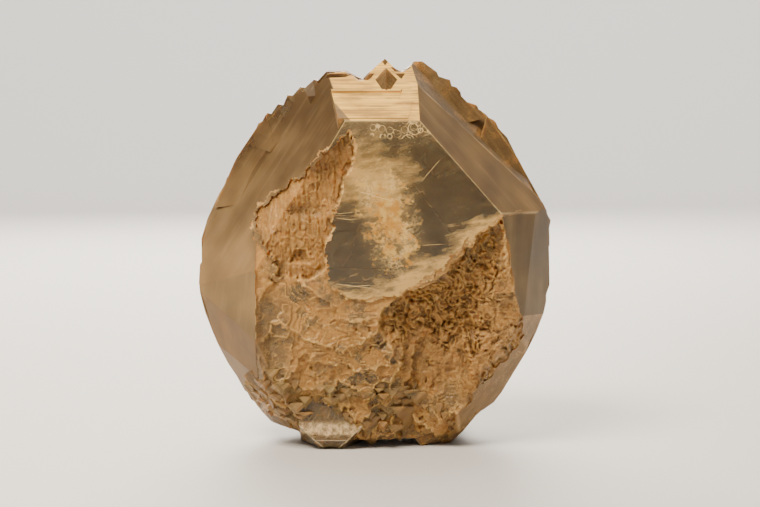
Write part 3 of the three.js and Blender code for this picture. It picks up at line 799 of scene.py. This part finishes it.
def makeCrystal():
    body = bpy.data.objects.new("crystalBody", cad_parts["crystal"].data.copy())
    bpy.context.scene.collection.objects.link(body)
    reshape(body.data, joinDoubles)
    body.data.materials.clear()
    markZone(body, "rim")
    slab = slabObject("frontSlab", renewal["cut"]["low"], renewal["cut"]["high"])
    markZone(slab, "window")
    combine(body, "DIFFERENCE", [slab])
    refill = refillBlock()
    markZone(refill, "window")
    combine(body, "UNION", [refill])
    etched, shave = etchedBlock(), shaveBlock()
    markZone(etched, "etched")
    markZone(shave, "top")
    combine(body, "DIFFERENCE", [etched, shave])
    grown = [clearFoot()] + [tipObject(*tip) for tip in frontTips]
    for name, made in zip(["foot"] + ["tips"] * len(frontTips), grown):
        markZone(made, name)
    combine(body, "UNION", grown)
    return body


# The centres in millimetres, the normals and the zones of a mesh's faces.
def facesOf(mesh):
    count = len(mesh.polygons)
    centre, normal, zone = np.zeros(count * 3), np.zeros(count * 3), np.zeros(count, np.int32)
    mesh.polygons.foreach_get("center", centre)
    mesh.polygons.foreach_get("normal", normal)
    mesh.attributes["zone"].data.foreach_get("value", zone)
    return centre.reshape(-1, 3) / mm, normal.reshape(-1, 3), zone


# The zone of each of the crystal's front faces, and those that a face keeps from the solid that it came from.
zoneOf = {
    "top": "top",
    "upperRight": "upperRight", "upperRightOuter": "rim",
    "right": "right", "rightOuter": "right",
    "upperLeft": "upperLeft", "left": "left",
    "lowLeftA": "lowLeft", "lowLeftB": "lowLeft", "lowLeftC": "lowLeft",
    "bottom": "lowRight", "lowRightC": "lowRight", "lowRightB": "lowRight", "lowRightA": "lowRight",
}
keptZones = ("etched", "foot", "tips", "top")


# Each face gets the zone whose plane it lies on. The others are rim, except the steps at the top, the
# plates at the upper left and the back.
def sortZones(body):
    mesh = body.data
    centre, normal, came = facesOf(mesh)
    x, y, z = centre.T
    free = ~np.isin(came, [zoneNumber[name] for name in keptZones])
    zone = np.where(free, zoneNumber["rim"], came)
    for name, face in crystal["front"].items():
        plane = np.array(planeOf(*face, crystal["axis"], crystal["half"]))
        aligned = normal @ plane[:3] / np.linalg.norm(plane[:3]) > 0.9995
        near = np.abs(centre @ plane[:3] - plane[3]) < 0.06
        zone = np.where(aligned & near & free, zoneNumber[zoneOf[name]], zone)
    onFront = (normal[:, 1] < -0.999) & (y < -18.8)
    zone = np.where(free & onFront, zoneNumber["window"], zone)
    nearTop = (np.abs(x - 3) < 13) & (z > 60) & (y < -4) & (normal[:, 2] > 0.6) & (normal[:, 1] < -0.4)
    zone = np.where(free & nearTop, zoneNumber["top"], zone)
    onLeft = (x < -8) & (z > 40) & (normal[:, 1] < -0.3)
    zone = np.where(free & onLeft & (zone == zoneNumber["rim"]), zoneNumber["upperLeft"], zone)
    onBack = (normal[:, 1] > 0.3) & (y > 2.0)
    zone = np.where(free & onBack, zoneNumber["back"], zone)
    mesh.materials.clear()
    for look in zones.values():
        mesh.materials.append(look.material)
    mesh.polygons.foreach_set("material_index", zone.astype(np.int32))
    mesh.set_sharp_from_angle(angle=math.radians(34))
    mesh.polygons.foreach_set("use_smooth", zone == zoneNumber["etched"])
    return {name: int((zone == number).sum()) for name, number in zoneNumber.items()}


# The marks of the etched surface, carried to the mesh as values between 0 and 1. Points sunk below their
# surroundings get more painted shade, and raised ones a painted highlight.
def markRelief(body):
    mesh = body.data
    depth = np.maximum(gridDepth, 0)
    wide = blurred(blurred(depth, 4), 4)
    # painted shade where the surface lies deeper than around it, painted highlight where it stands out
    sunk = np.clip((depth - wide) / 0.9, 0, 1)
    raisedHighlight = np.clip((wide - depth) / 0.7, 0, 1)
    dips = gridMarks["dips"] + sunk * 0.6 - gridMarks["lips"] * 0.5
    lips = gridMarks["lips"] * 0.85 + raisedHighlight * 0.4
    points = np.zeros(len(mesh.vertices) * 3)
    mesh.vertices.foreach_get("co", points)
    x, z = points.reshape(-1, 3)[:, 0] / mm, points.reshape(-1, 3)[:, 2] / mm
    place = gridPlace(x, z)
    for name, values in {"lips": lips, "dips": dips, "hollow": gridMarks["hollow"]}.items():
        layer = mesh.attributes.new(name, "FLOAT", "POINT")
        layer.data.foreach_set("value", np.clip(values[place], 0, 1).astype(np.float32))
    mesh.update()


body = makeCrystal()
markRelief(body)
print("crystal", len(body.data.polygons), "faces", sortZones(body))


# Looks. The clear crystal is smoky, and films and cracks in it show as cloudiness.

# Places on the front, as points x, z: areas with their reaches, strokes with their two ends, and edges with
# the names of their faces and a width. `ringCells` holds the cells' scales and the rings' radii in them.
window = {
    "golden": {"centre": (-1.5, 55.0), "reach": (8.5, 7.5)},
    "flecks": {"centre": (2.8, 46.5), "reach": (5.6, 10.5), "slant": 0.18},
    "rings": {"centre": (4.6, 64.7), "reach": (7.2, 2.0)},
    "ringCells": [(340.0, 0.42), (430.0, 0.30), (560.0, 0.40)],
    "lined": [
        ({"centre": (-4.0, 34.1), "reach": (6.0, 0.9)}, 1.0),
        ({"centre": (-6.0, 47.4), "reach": (3.2, 1.6)}, 0.6),
    ],
    "strokes": [
        ((12.7, 58.9), (8.4, 53.9)), ((-7.9, 34.4), (0.4, 33.4)), ((-5.8, 33.7), (-0.4, 34.2)),
        ((-7.6, 48.2), (-3.4, 48.6)), ((-7.8, 47.4), (-3.8, 46.9)), ((9.2, 42.0), (14.4, 42.3)),
        ((-3.2, 52.6), (4.6, 50.4)),
    ],
    "edges": [("front", "top", 0.3), ("front", "upperRight", 0.25), ("front", "upperLeft", 0.2)],
    "colours": {
        "clear": (0.27, 0.185, 0.09), "golden": (0.62, 0.385, 0.125), "fleck": (0.62, 0.38, 0.10),
        "orange": (0.50, 0.235, 0.042), "pale": (0.74, 0.54, 0.23), "speck": (0.56, 0.42, 0.20),
    },
}


# Small rings below the top face: thin shells round the points of three sets of cells.
def ringMarks(look):
    rings = 0.0
    for scale, radius in window["ringCells"]:
        inputs = {"Vector": look.place, "Scale": scale, "Randomness": 0.8}
        cells = look.node("ShaderNodeTexVoronoi", inputs, "Distance")
        rings = (1.0 - (cells - radius).absolute() * 21).clamped() + rings
    rings = rings * look.noise(1.0, 3).ramp(0.34, 0.56) * 0.95
    return rings * (1.0 - look.around(**window["rings"])).ramp(0.0, 0.3)


# Straight marks: strokes, fine lines in two areas and scratches.
def straightMarks(look):
    strokes = 0.0
    for begin, finish in window["strokes"]:
        strokes = look.stroke(begin, finish) * 0.8 + strokes
    lined = 0.0
    for area, share in window["lined"]:
        lined = (1.0 - look.around(**area)).clamped() * share + lined
    lines = look.noise(0.3, 2, (30.0, 8.0, 0.6), -2).ramp(0.55, 0.62) * lined
    scratches = look.noise(0.5, 2, (16.0, 8.0, 0.6), 49).ramp(0.64, 0.70) * 0.15
    return strokes + lines + scratches


# The front: a golden cloud, one of orange flecks and pale threads below it, and a cloudy skirt along the
# etching.
def windowLook(look):
    broad = look.noise(8, 4, (1.0, 2.0, 1.3)) - 0.5
    wisp = look.noise(2.0, 5, (2.2, 2.0, 0.7), 10, 0.65)
    golden = (1.25 - look.around(**window["golden"]).root() + broad * 1.3 + (wisp - 0.5) * 1.6).clamped()
    low = (look.z - 31.6).least((look.z - 32.6 - (look.x - 4.8) * 0.765) * 0.794)
    skirt = (low * -0.3 + 1.0 + (wisp - 0.5) * 3.4 + broad * 1.5).clamped()
    fleckArea = (1.3 - look.around(**window["flecks"]).root()).clamped()
    flecks = look.noise(1.7, 5, (1.0, 2.0, 0.9), rough=0.65) + fleckArea * 0.22
    flecks = flecks.ramp(0.60, 0.70) * fleckArea.ramp(0, 0.25)
    veil = (fleckArea * 1.3 + (wisp - 0.5) * 1.5).clamped()
    ridge = (1.0 - (look.noise(1.6, 5, (1.0, 2.0, 0.8), rough=0.72) - 0.5).absolute() * 16).clamped()
    threads = ridge * fleckArea.ramp(0.1, 0.6) * look.noise(3.0, 2).ramp(0.42, 0.62)
    haze = look.z.ramp(60.0, 65.0) * 0.6
    specks = look.noise(0.45, 4, (1.8, 2.0, 0.8), 14, 0.7) - 0.5
    # Pale lines along the window's edges: worn edges with a painted highlight.
    edge = look.edges(window["edges"])
    pale = (ringMarks(look) + straightMarks(look) + threads * 0.7 + edge * 0.6).clamped()
    cloud = 0.22 + (broad + 0.05) * 0.35 + specks.ramp(0.0, 0.22) * 0.16 + haze * wisp + golden * 0.5
    cloud = cloud + skirt * 0.75 + flecks * 0.5 + veil * 0.22 + pale * 0.62
    paint = window["colours"]
    colour = (golden + skirt * 0.8 + veil * 0.4).clamped().between(paint["clear"], paint["golden"])
    orange = look.noise(1.4, 3).ramp(0.4, 0.6).between(paint["fleck"], paint["orange"])
    colour = flecks.between(colour, orange)
    colour = pale.between(colour, paint["pale"])
    colour = (specks.ramp(0.02, 0.20) * 0.45).between(colour, paint["speck"])
    bump = look.bump(look.noise(1.1, 3) * 0.5 + flecks * 1.5 + threads * 1.5 + edge, 0.3, 0.08)
    finishLook(look, cloud.clamped(), colour, bump, 0.36, 0.03)


# Edges by their two faces and their width. A number is the angle of a face of the rim. They are drawn as pale
# lines, worn edges with a painted highlight.
leftEdges = [("upperLeft", "top", 0.25), ("left", 180, 0.3), ("left", 164, 0.3)]
rightEdges = [("upperRight", "upperRightOuter", 0.06), ("upperRight", "right", 0.25), ("rightOuter", 0, 0.4)]


# The smooth faces: milky, between two colours. Their streaks run at `angle`, `streak` millimetres wide and
# `length` times as long, and show by `fine`. The face gets lighter by `lean` for each millimetre down, has a
# painted shadow around the point in `shade` and is hazy to the left of `strip`. `veined` adds pale veins and
# rust. Its `edges` show as pale lines, worn edges with a painted highlight.
facets = {
    "upperLeft": {
        "dark": (0.090, 0.050, 0.017), "light": (0.28, 0.172, 0.073),
        "cloud": 0.78, "angle": 57, "streak": 0.7, "fine": 0.16, "lean": 0.036,
        # a painted shadow below the corner of the top face, which overhangs there
        "shade": {"centre": (-10.2, 67.0), "reach": (5.5, 5.5)},
        "edges": leftEdges,
    },
    "left": {
        "dark": (0.17, 0.105, 0.041), "light": (0.34, 0.215, 0.088),
        "cloud": 0.80, "angle": 84, "streak": 0.9, "fine": 0.14, "edges": leftEdges,
    },
    "lowLeft": {
        "dark": (0.13, 0.064, 0.012), "light": (0.27, 0.138, 0.030),
        "cloud": 0.94, "angle": 96, "streak": 0.9, "fine": 0.14,
    },
    "upperRight": {
        "dark": (0.135, 0.074, 0.023), "light": (0.28, 0.165, 0.058),
        "cloud": 0.82, "angle": -48, "streak": 0.5, "fine": 0.2, "length": 24,
        "edges": rightEdges,
    },
    "right": {
        "dark": (0.13, 0.078, 0.027), "light": (0.28, 0.175, 0.068),
        "cloud": 0.74, "angle": 88, "streak": 0.8, "fine": 0.16, "strip": (25.5, 28.5),
        "edges": rightEdges,
    },
    "lowRight": {
        "dark": (0.15, 0.080, 0.022), "light": (0.34, 0.195, 0.065),
        "cloud": 0.90, "angle": 60, "streak": 0.8, "fine": 0.2, "veined": 0.8,
        "edges": [("lowRightA", "lowRightB", 0.25), ("lowRightB", "lowRightC", 0.25)],
    },
    "back": {
        "dark": (0.105, 0.060, 0.022), "light": (0.30, 0.185, 0.078),
        "cloud": 0.44, "angle": 62, "streak": 0.5, "fine": 0.16, "length": 16, "clearRough": 0.12,
    },
    "tips": {
        "dark": (0.18, 0.085, 0.024), "light": (0.46, 0.27, 0.10),
        "cloud": 0.66, "angle": 45, "streak": 0.6, "fine": 0.35, "clearRough": 0.15,
    },
}


def facetLook(look, dark, light, cloud, angle, streak, fine, length=18.0, clearRough=0.22, edges=(), lean=0.0,
              veined=0.0, shade=None, strip=None):
    pale = (min(light[0] * 1.8, 1.0), min(light[1] * 1.95, 1.0), light[2] * 2.2)
    streaks = look.noise(streak, 2, (length, 6.0, 0.9), angle, 0.4)
    broad = look.noise(streak * 7, 3, (length * 0.3, 3.0, 1.0), angle, 0.45)
    thin = look.noise(streak * 0.5, 1, (length * 2.5, 10.0, 0.8), angle)
    blotch = look.noise(9, 4)
    faint = look.noise(3.0, 3, (3.0, 1.0, 1.2), angle).ramp(0.38, 0.66)
    gleam = (streaks.ramp(0.36, 0.84) + thin.ramp(0.50, 0.80) * 0.4).clamped() * faint * fine
    amount = cloud + (look.noise(9, 1) - 0.5) * 0.7 + (broad - 0.5) * 0.2 + gleam * 0.3
    tone = (blotch * 0.9 + broad * 0.3 - 0.1 + (52.0 - look.z) * lean).clamped()
    if strip:
        start, end = strip
        haze = look.x.ramp(end, start) * broad.ramp(0.3, 0.6)
        tone = (tone + haze * 0.7).clamped()
        amount = amount + haze * 0.2
    # Painted shadow around the point in shade.
    if shade:
        tone = tone * look.around(**shade).ramp(0.2, 1.0)
    colour = gleam.between(tone.between(dark, light), pale)
    # Pale lines along the edges: worn edges with a painted highlight.
    if edges:
        edge = look.edges(edges) * blotch.ramp(0.3, 0.7)
        amount = amount + edge * 0.25
        colour = (edge * 0.55).between(colour, (0.74, 0.53, 0.28))
    if veined:
        veins = look.veins() * look.noise(4.0, 3).ramp(0.36, 0.56)
        rust = look.noise(2.2, 4).ramp(0.50, 0.64)
        colour = (rust * 0.5 * veined).between(colour, (0.34, 0.15, 0.035))
        colour = (veins * veined).between(colour, (0.70, 0.45, 0.18))
    bump = look.bump(streaks * 0.6 + thin * 0.3, 0.12, 0.04)
    finishLook(look, amount.clamped(), colour, bump, clearRough=clearRough)


# The colours of the four looks that follow.
colours = {
    "top": {
        "dark": (0.32, 0.155, 0.030), "light": (1.0, 0.58, 0.10), "crack": (0.20, 0.10, 0.03),
        # the colour of the painted shadow in the left corner
        "corner": (0.13, 0.085, 0.040),
    },
    "foot": {"clear": (0.36, 0.225, 0.095), "band": (0.86, 0.62, 0.33), "line": (0.88, 0.68, 0.42)},
    "etched": {
        "dark": (0.15, 0.068, 0.020), "light": (0.52, 0.27, 0.076), "rust": (0.42, 0.165, 0.035),
        "clear": (0.285, 0.188, 0.086), "lip": (0.74, 0.455, 0.165),
    },
    "rim": {"dark": (0.085, 0.046, 0.014), "light": (0.26, 0.155, 0.058), "rust": (0.40, 0.18, 0.04)},
}


# The face at the top: golden, with fine straight lines across it, brighter patches and a painted shadow in
# its left corner.
def topLook(look):
    paint = colours["top"]
    lines = look.noise(0.35, 2, (60.0, 1.0, 0.6))
    ribs = look.noise(0.8, 3, (40.0, 1.0, 0.5))
    patch = look.noise(3.2, 4, (2.6, 1.0, 0.8))
    tone = (lines.ramp(0.34, 0.62) * 0.5 + patch.ramp(0.36, 0.66) * 0.6).clamped()
    colour = tone.between(paint["dark"], paint["light"])
    cracks = (1.0 - (ribs - 0.5).absolute() * 30).clamped() * look.noise(5.0, 2).ramp(0.42, 0.56)
    colour = (cracks * 0.7).between(colour, paint["crack"])
    # Painted shadow in the left corner.
    corner = ((look.x + 8.2) * 0.717 + (look.z - 70.0) * 0.697).ramp(0.1, -0.1)
    colour = (corner * 0.85).between(colour, paint["corner"])
    bump = look.bump(ribs + lines * 0.4, 0.3, 0.08)
    finishLook(look, 0.97, colour, bump, clearRough=0.2)


# The clear crystal at the foot, with a whitish band across its front and pale lines along its lower edges,
# which are a painted highlight.
def footLook(look):
    paint = colours["foot"]
    veil = look.noise(1.6, 4, (2.5, 1.0, 0.7), 8, 0.65)
    height = look.z + (veil - 0.5) * 2.4
    patch = look.noise(0.9, 4, rough=0.7).ramp(0.36, 0.62)
    band = height.ramp(2.6, 3.4) * height.ramp(6.6, 4.8) * (patch * 0.6 + 0.3)
    lines = look.noise(0.5, 3, (8.0, 3.0, 0.8), 60).ramp(0.56, 0.66)
    reach = footCrystal["reach"]
    slant = ((look.x - footCrystal["x"]).absolute() + (reach - footCrystal["sunk"]) - look.z) * 0.707
    # A painted highlight along the lower edges.
    edge = (slant - (reach - footCrystal["corner"])).absolute().ramp(0.22, 0.0)
    lowest = look.z - (footCrystal["lowCorner"] - footCrystal["sunk"])
    lowest = lowest.absolute().ramp(0.2, 0.0) * slant.ramp(4.5, 4.2)
    edge = edge.most(lowest) * patch.ramp(0.0, 0.4)
    colour = band.between(paint["clear"], paint["band"])
    # The line colour serves the fine lines and the painted highlight on the edges.
    colour = (lines * 0.2 + edge * 0.7).between(colour, paint["line"])
    cloud = 0.34 + band * 0.6 + lines * 0.2 + edge * 0.4 + (veil - 0.5) * 0.6
    finishLook(look, cloud.clamped(), colour, look.bump(veil, 0.3, 0.06), clearRough=0.06)


# The etched front: honey-brown with pale lips, partly painted highlight, and veins, painted shade in its dips,
# darker in its hollows, clear in patches.
def etchedLook(look):
    paint = colours["etched"]
    lips, dips, hollow = (look.attribute(name) for name in ("lips", "dips", "hollow"))
    grain = look.noise(0.6, 4) - 0.5
    veins = look.veins()
    # The dips darken the tone: painted shade.
    tone = 0.68 + (look.noise(4.5, 4) - 0.5) * 0.8 + grain * 0.8 - dips * 0.34 - hollow * 0.16
    colour = tone.clamped().between(paint["dark"], paint["light"])
    rust = look.noise(1.8, 4).ramp(0.54, 0.68) * look.noise(6.0, 2).ramp(0.45, 0.6)
    colour = (rust * 0.6).between(colour, paint["rust"])
    side = look.x.ramp(-15.0, -19.5) * look.z.ramp(34.0, 28.0) * look.z.ramp(11.0, 15.0)
    clear = look.noise(4.2, 3).ramp(0.47, 0.62).most(side * 0.75)
    clear = clear * (1.0 - lips * 1.3).clamped() * (1.0 - hollow)
    colour = (clear * 0.85).between(colour, paint["clear"])
    faded = look.noise(2.6, 3).ramp(0.34, 0.6) * 0.6 + 0.4
    # The lip colour goes on the lips, partly as painted highlight, and on the veins.
    lip = ((lips * 0.9 + veins * 0.55 * (1.0 - hollow * 0.7)) * (0.9 + grain * 1.4) * faded).clamped()
    colour = (lip * (0.85 - hollow * 0.3)).between(colour, paint["lip"])
    bump = look.bump(look.noise(0.35, 3) * 0.6 + grain * 0.5 + veins * 0.8, 0.5, 0.10)
    finishLook(look, (0.95 - clear * 0.48 + veins * 0.2).clamped(), colour, bump, clearRough=0.2)


# The rim: brown, in plates that lie behind each other, with fibres across them and rusty patches.
def rimLook(look):
    paint = colours["rim"]
    plates = look.noise(0.9, 4, (5.0, 0.5, 5.0))
    fibres = look.noise(0.35, 3, (0.8, 8.0, 0.8))
    patch = look.noise(4.0, 4)
    tone = ((plates - 0.5) * 1.1 + (fibres - 0.5) * 0.8 + patch).clamped()
    colour = tone.between(paint["dark"], paint["light"])
    rust = patch.ramp(0.48, 0.64) * fibres.ramp(0.42, 0.6)
    colour = (rust * 0.8).between(colour, paint["rust"])
    bump = look.bump(plates + fibres * 0.5, 0.4, 0.12)
    finishLook(look, (0.90 + (patch - 0.5) * 0.6).clamped(), colour, bump, clearRough=0.22)


windowLook(zones["window"])
topLook(zones["top"])
for name, values in facets.items():
    facetLook(zones[name], **values)
footLook(zones["foot"])
etchedLook(zones["etched"])
rimLook(zones["rim"])
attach(body, "root")
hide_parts("crystal")
print("looks made")


# Where the etched surface lies, as y.
def frontAt(x, z):
    return np.maximum(gridDepth[gridPlace(x, z)], surfaceDepth(x, z)) - crystal["half"]


# Copies of one small tip, each scaled by chance between two sizes.
def scatterTree():
    tree = bpy.data.node_groups.new("scatterTips", "GeometryNodeTree")
    for name, kind in (
            ("Geometry", "NodeSocketGeometry"), ("Tip", "NodeSocketObject"), ("Least", "NodeSocketVector"),
            ("Most", "NodeSocketVector"), ("Seed", "NodeSocketInt"), ("Look", "NodeSocketMaterial")):
        tree.interface.new_socket(name=name, in_out="INPUT", socket_type=kind)
    tree.interface.new_socket(name="Geometry", in_out="OUTPUT", socket_type="NodeSocketGeometry")
    start, end, tip, size, copies, real, paint = (tree.nodes.new(kind) for kind in (
        "NodeGroupInput", "NodeGroupOutput", "GeometryNodeObjectInfo", "FunctionNodeRandomValue",
        "GeometryNodeInstanceOnPoints", "GeometryNodeRealizeInstances", "GeometryNodeSetMaterial"))
    size.data_type = "FLOAT_VECTOR"
    for source, name, target, place in (
            (start, "Geometry", copies, "Points"), (start, "Tip", tip, "Object"),
            (start, "Least", size, "Min"), (start, "Most", size, "Max"), (start, "Seed", size, "Seed"),
            (tip, "Geometry", copies, "Instance"), (size, "Value", copies, "Scale"),
            (copies, "Instances", real, "Geometry"),
            (real, "Geometry", paint, "Geometry"), (start, "Look", paint, "Material"),
            (paint, "Geometry", end, "Geometry")):
        tree.links.new(source.outputs[name], target.inputs[place])
    return tree


# Rows of small tips on the etched surface, as two ends x, z and a number, loose ones between them, and rows
# on the edge behind it, which also have their y.
smallTips = {
    "rows": [
        ((-24.4, 10.6), (-15.4, 4.4), 11), ((-23.2, 12.8), (-14.4, 6.8), 8),
        ((-21.6, 14.6), (-16.5, 11.4), 5), ((-7.6, 6.2), (-2.2, 1.8), 5), ((-2.2, 2.2), (2.6, 6.2), 5),
        ((3.0, 7.4), (8.2, 10.8), 5), ((1.8, 3.4), (6.4, 3.0), 4), ((-8.6, 10.2), (4.0, 11.4), 9),
        ((9.0, 8.6), (14.2, 5.6), 5),
    ],
    "loose": {"number": 46, "x": (-22, 9), "z": (3, 12)},
    "edge": [((-24.2, 11.6), (-15.8, 5.2), 12, -10.5), ((-24.6, 10.6), (-16.4, 4.6), 11, -7.0)],
    "seed": 12,
    "least": (0.45, 0.55, 0.45),
    "most": (1.25, 1.3, 1.25),
}


def scatterTips():
    settings = smallTips
    loose = settings["loose"]
    chance = np.random.default_rng(settings["seed"])
    spots = [np.linspace(a, b, number) for a, b, number in settings["rows"]]
    looseX = chance.uniform(*loose["x"], loose["number"])
    looseZ = chance.uniform(*loose["z"], loose["number"])
    spots.append(np.stack([looseX, looseZ], -1))
    x, z = np.concatenate(spots).T
    x, z = x + chance.normal(0, 0.3, len(x)), z + chance.normal(0, 0.35, len(x))
    y = frontAt(x, z + 1.0) + 0.1 + chance.normal(0, 0.2, len(x))
    spots = [np.stack([x, y, z], -1)]
    for (x0, z0), (x1, z1), number, rowY in settings["edge"]:
        row = np.linspace((x0, rowY, z0), (x1, rowY, z1), number)
        spots.append(row + chance.normal(0, 0.25, (number, 3)))
    piece = meshObject("smallTips", np.concatenate(spots), [])
    tip = tipObject(0, 0, 0, 0.9, 226, 314, 2.6, -9.0)
    tree = scatterTree()
    change = piece.modifiers.new("scatter", "NODES")
    change.node_group = tree
    values = {"Tip": tip, "Least": settings["least"], "Most": settings["most"], "Seed": settings["seed"],
              "Look": zones["tips"].material}
    for item in tree.interface.items_tree:
        if item.in_out == "INPUT" and item.name in values:
            change[item.identifier] = values[item.name]
    bake(piece)
    bpy.data.objects.remove(tip)
    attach(piece, "root")
    print("small tips", len(piece.data.polygons), "faces")


scatterTips()


# The floor's profile is in millimetres. A light has its place, what it points at and its size in metres, its
# power in watts and its colour.
studio = {
    "floor": {"width": 3000, "near": -1500, "bend": 900, "radius": 500, "top": 1600, "steps": 12},
    "floorColour": (0.66, 0.64, 0.61, 1),
    "skyColour": (0.74, 0.73, 0.71, 1),
    "skyStrength": 0.32,
    "lights": {
        "key": ((-0.20, -0.26, 0.48), (0, 0, 0.04), (0.26, 0.20), 6.0, (1.0, 0.90, 0.76)),
        "over": ((0.0, 0.14, 0.60), (0, 0, 0.05), (0.26, 0.16), 0.9, (1.0, 0.88, 0.70)),
        "behind": ((-0.05, 0.42, 0.26), (0, 0, 0.04), (0.35, 0.25), 4.0, (1.0, 0.92, 0.80)),
        "backdrop": ((0.0, 0.55, 1.0), (0, 1.5, 0.35), (1.6, 0.3), 30.0, (1.0, 0.97, 0.93)),
    },
}


def softLight(name, place, aim, size, power, colour):
    light = bpy.data.lights.new(name, "AREA")
    light.shape = "RECTANGLE"
    light.size, light.size_y = size
    light.energy = power
    light.color = colour
    lamp = bpy.data.objects.new(name, light)
    lamp.location = place
    lamp.rotation_euler = (Vector(aim) - Vector(place)).to_track_quat("-Z", "Y").to_euler()
    bpy.context.scene.collection.objects.link(lamp)


# A pale floor that bends up into the backdrop.
def addFloor():
    settings = studio["floor"]
    radius, steps = settings["radius"], settings["steps"]
    profile = [(settings["near"], 0.0)]
    for step in range(steps + 1):
        turn = math.radians(90 * step / steps)
        profile.append((settings["bend"] + radius * math.sin(turn), radius * (1 - math.cos(turn))))
    profile.append((settings["bend"] + radius, settings["top"]))
    points = [(side * settings["width"], y, z) for y, z in profile for side in (-1, 1)]
    faces = [(2 * i, 2 * i + 1, 2 * i + 3, 2 * i + 2) for i in range(len(profile) - 1)]
    sweep = meshObject("floor", points, faces)
    sweep.data.polygons.foreach_set("use_smooth", [True] * len(faces))
    look = bpy.data.materials.new("floorPaint")
    look.use_nodes = True
    paint = look.node_tree.nodes["Principled BSDF"]
    paint.inputs["Base Color"].default_value = studio["floorColour"]
    paint.inputs["Roughness"].default_value = 0.6
    sweep.data.materials.append(look)


def addStudio():
    addFloor()
    world = bpy.data.worlds.new("studio")
    world.use_nodes = True
    world.node_tree.nodes["Background"].inputs["Color"].default_value = studio["skyColour"]
    world.node_tree.nodes["Background"].inputs["Strength"].default_value = studio["skyStrength"]
    bpy.context.scene.world = world
    for name, values in studio["lights"].items():
        softLight(name, *values)


addStudio()
print("studio made")
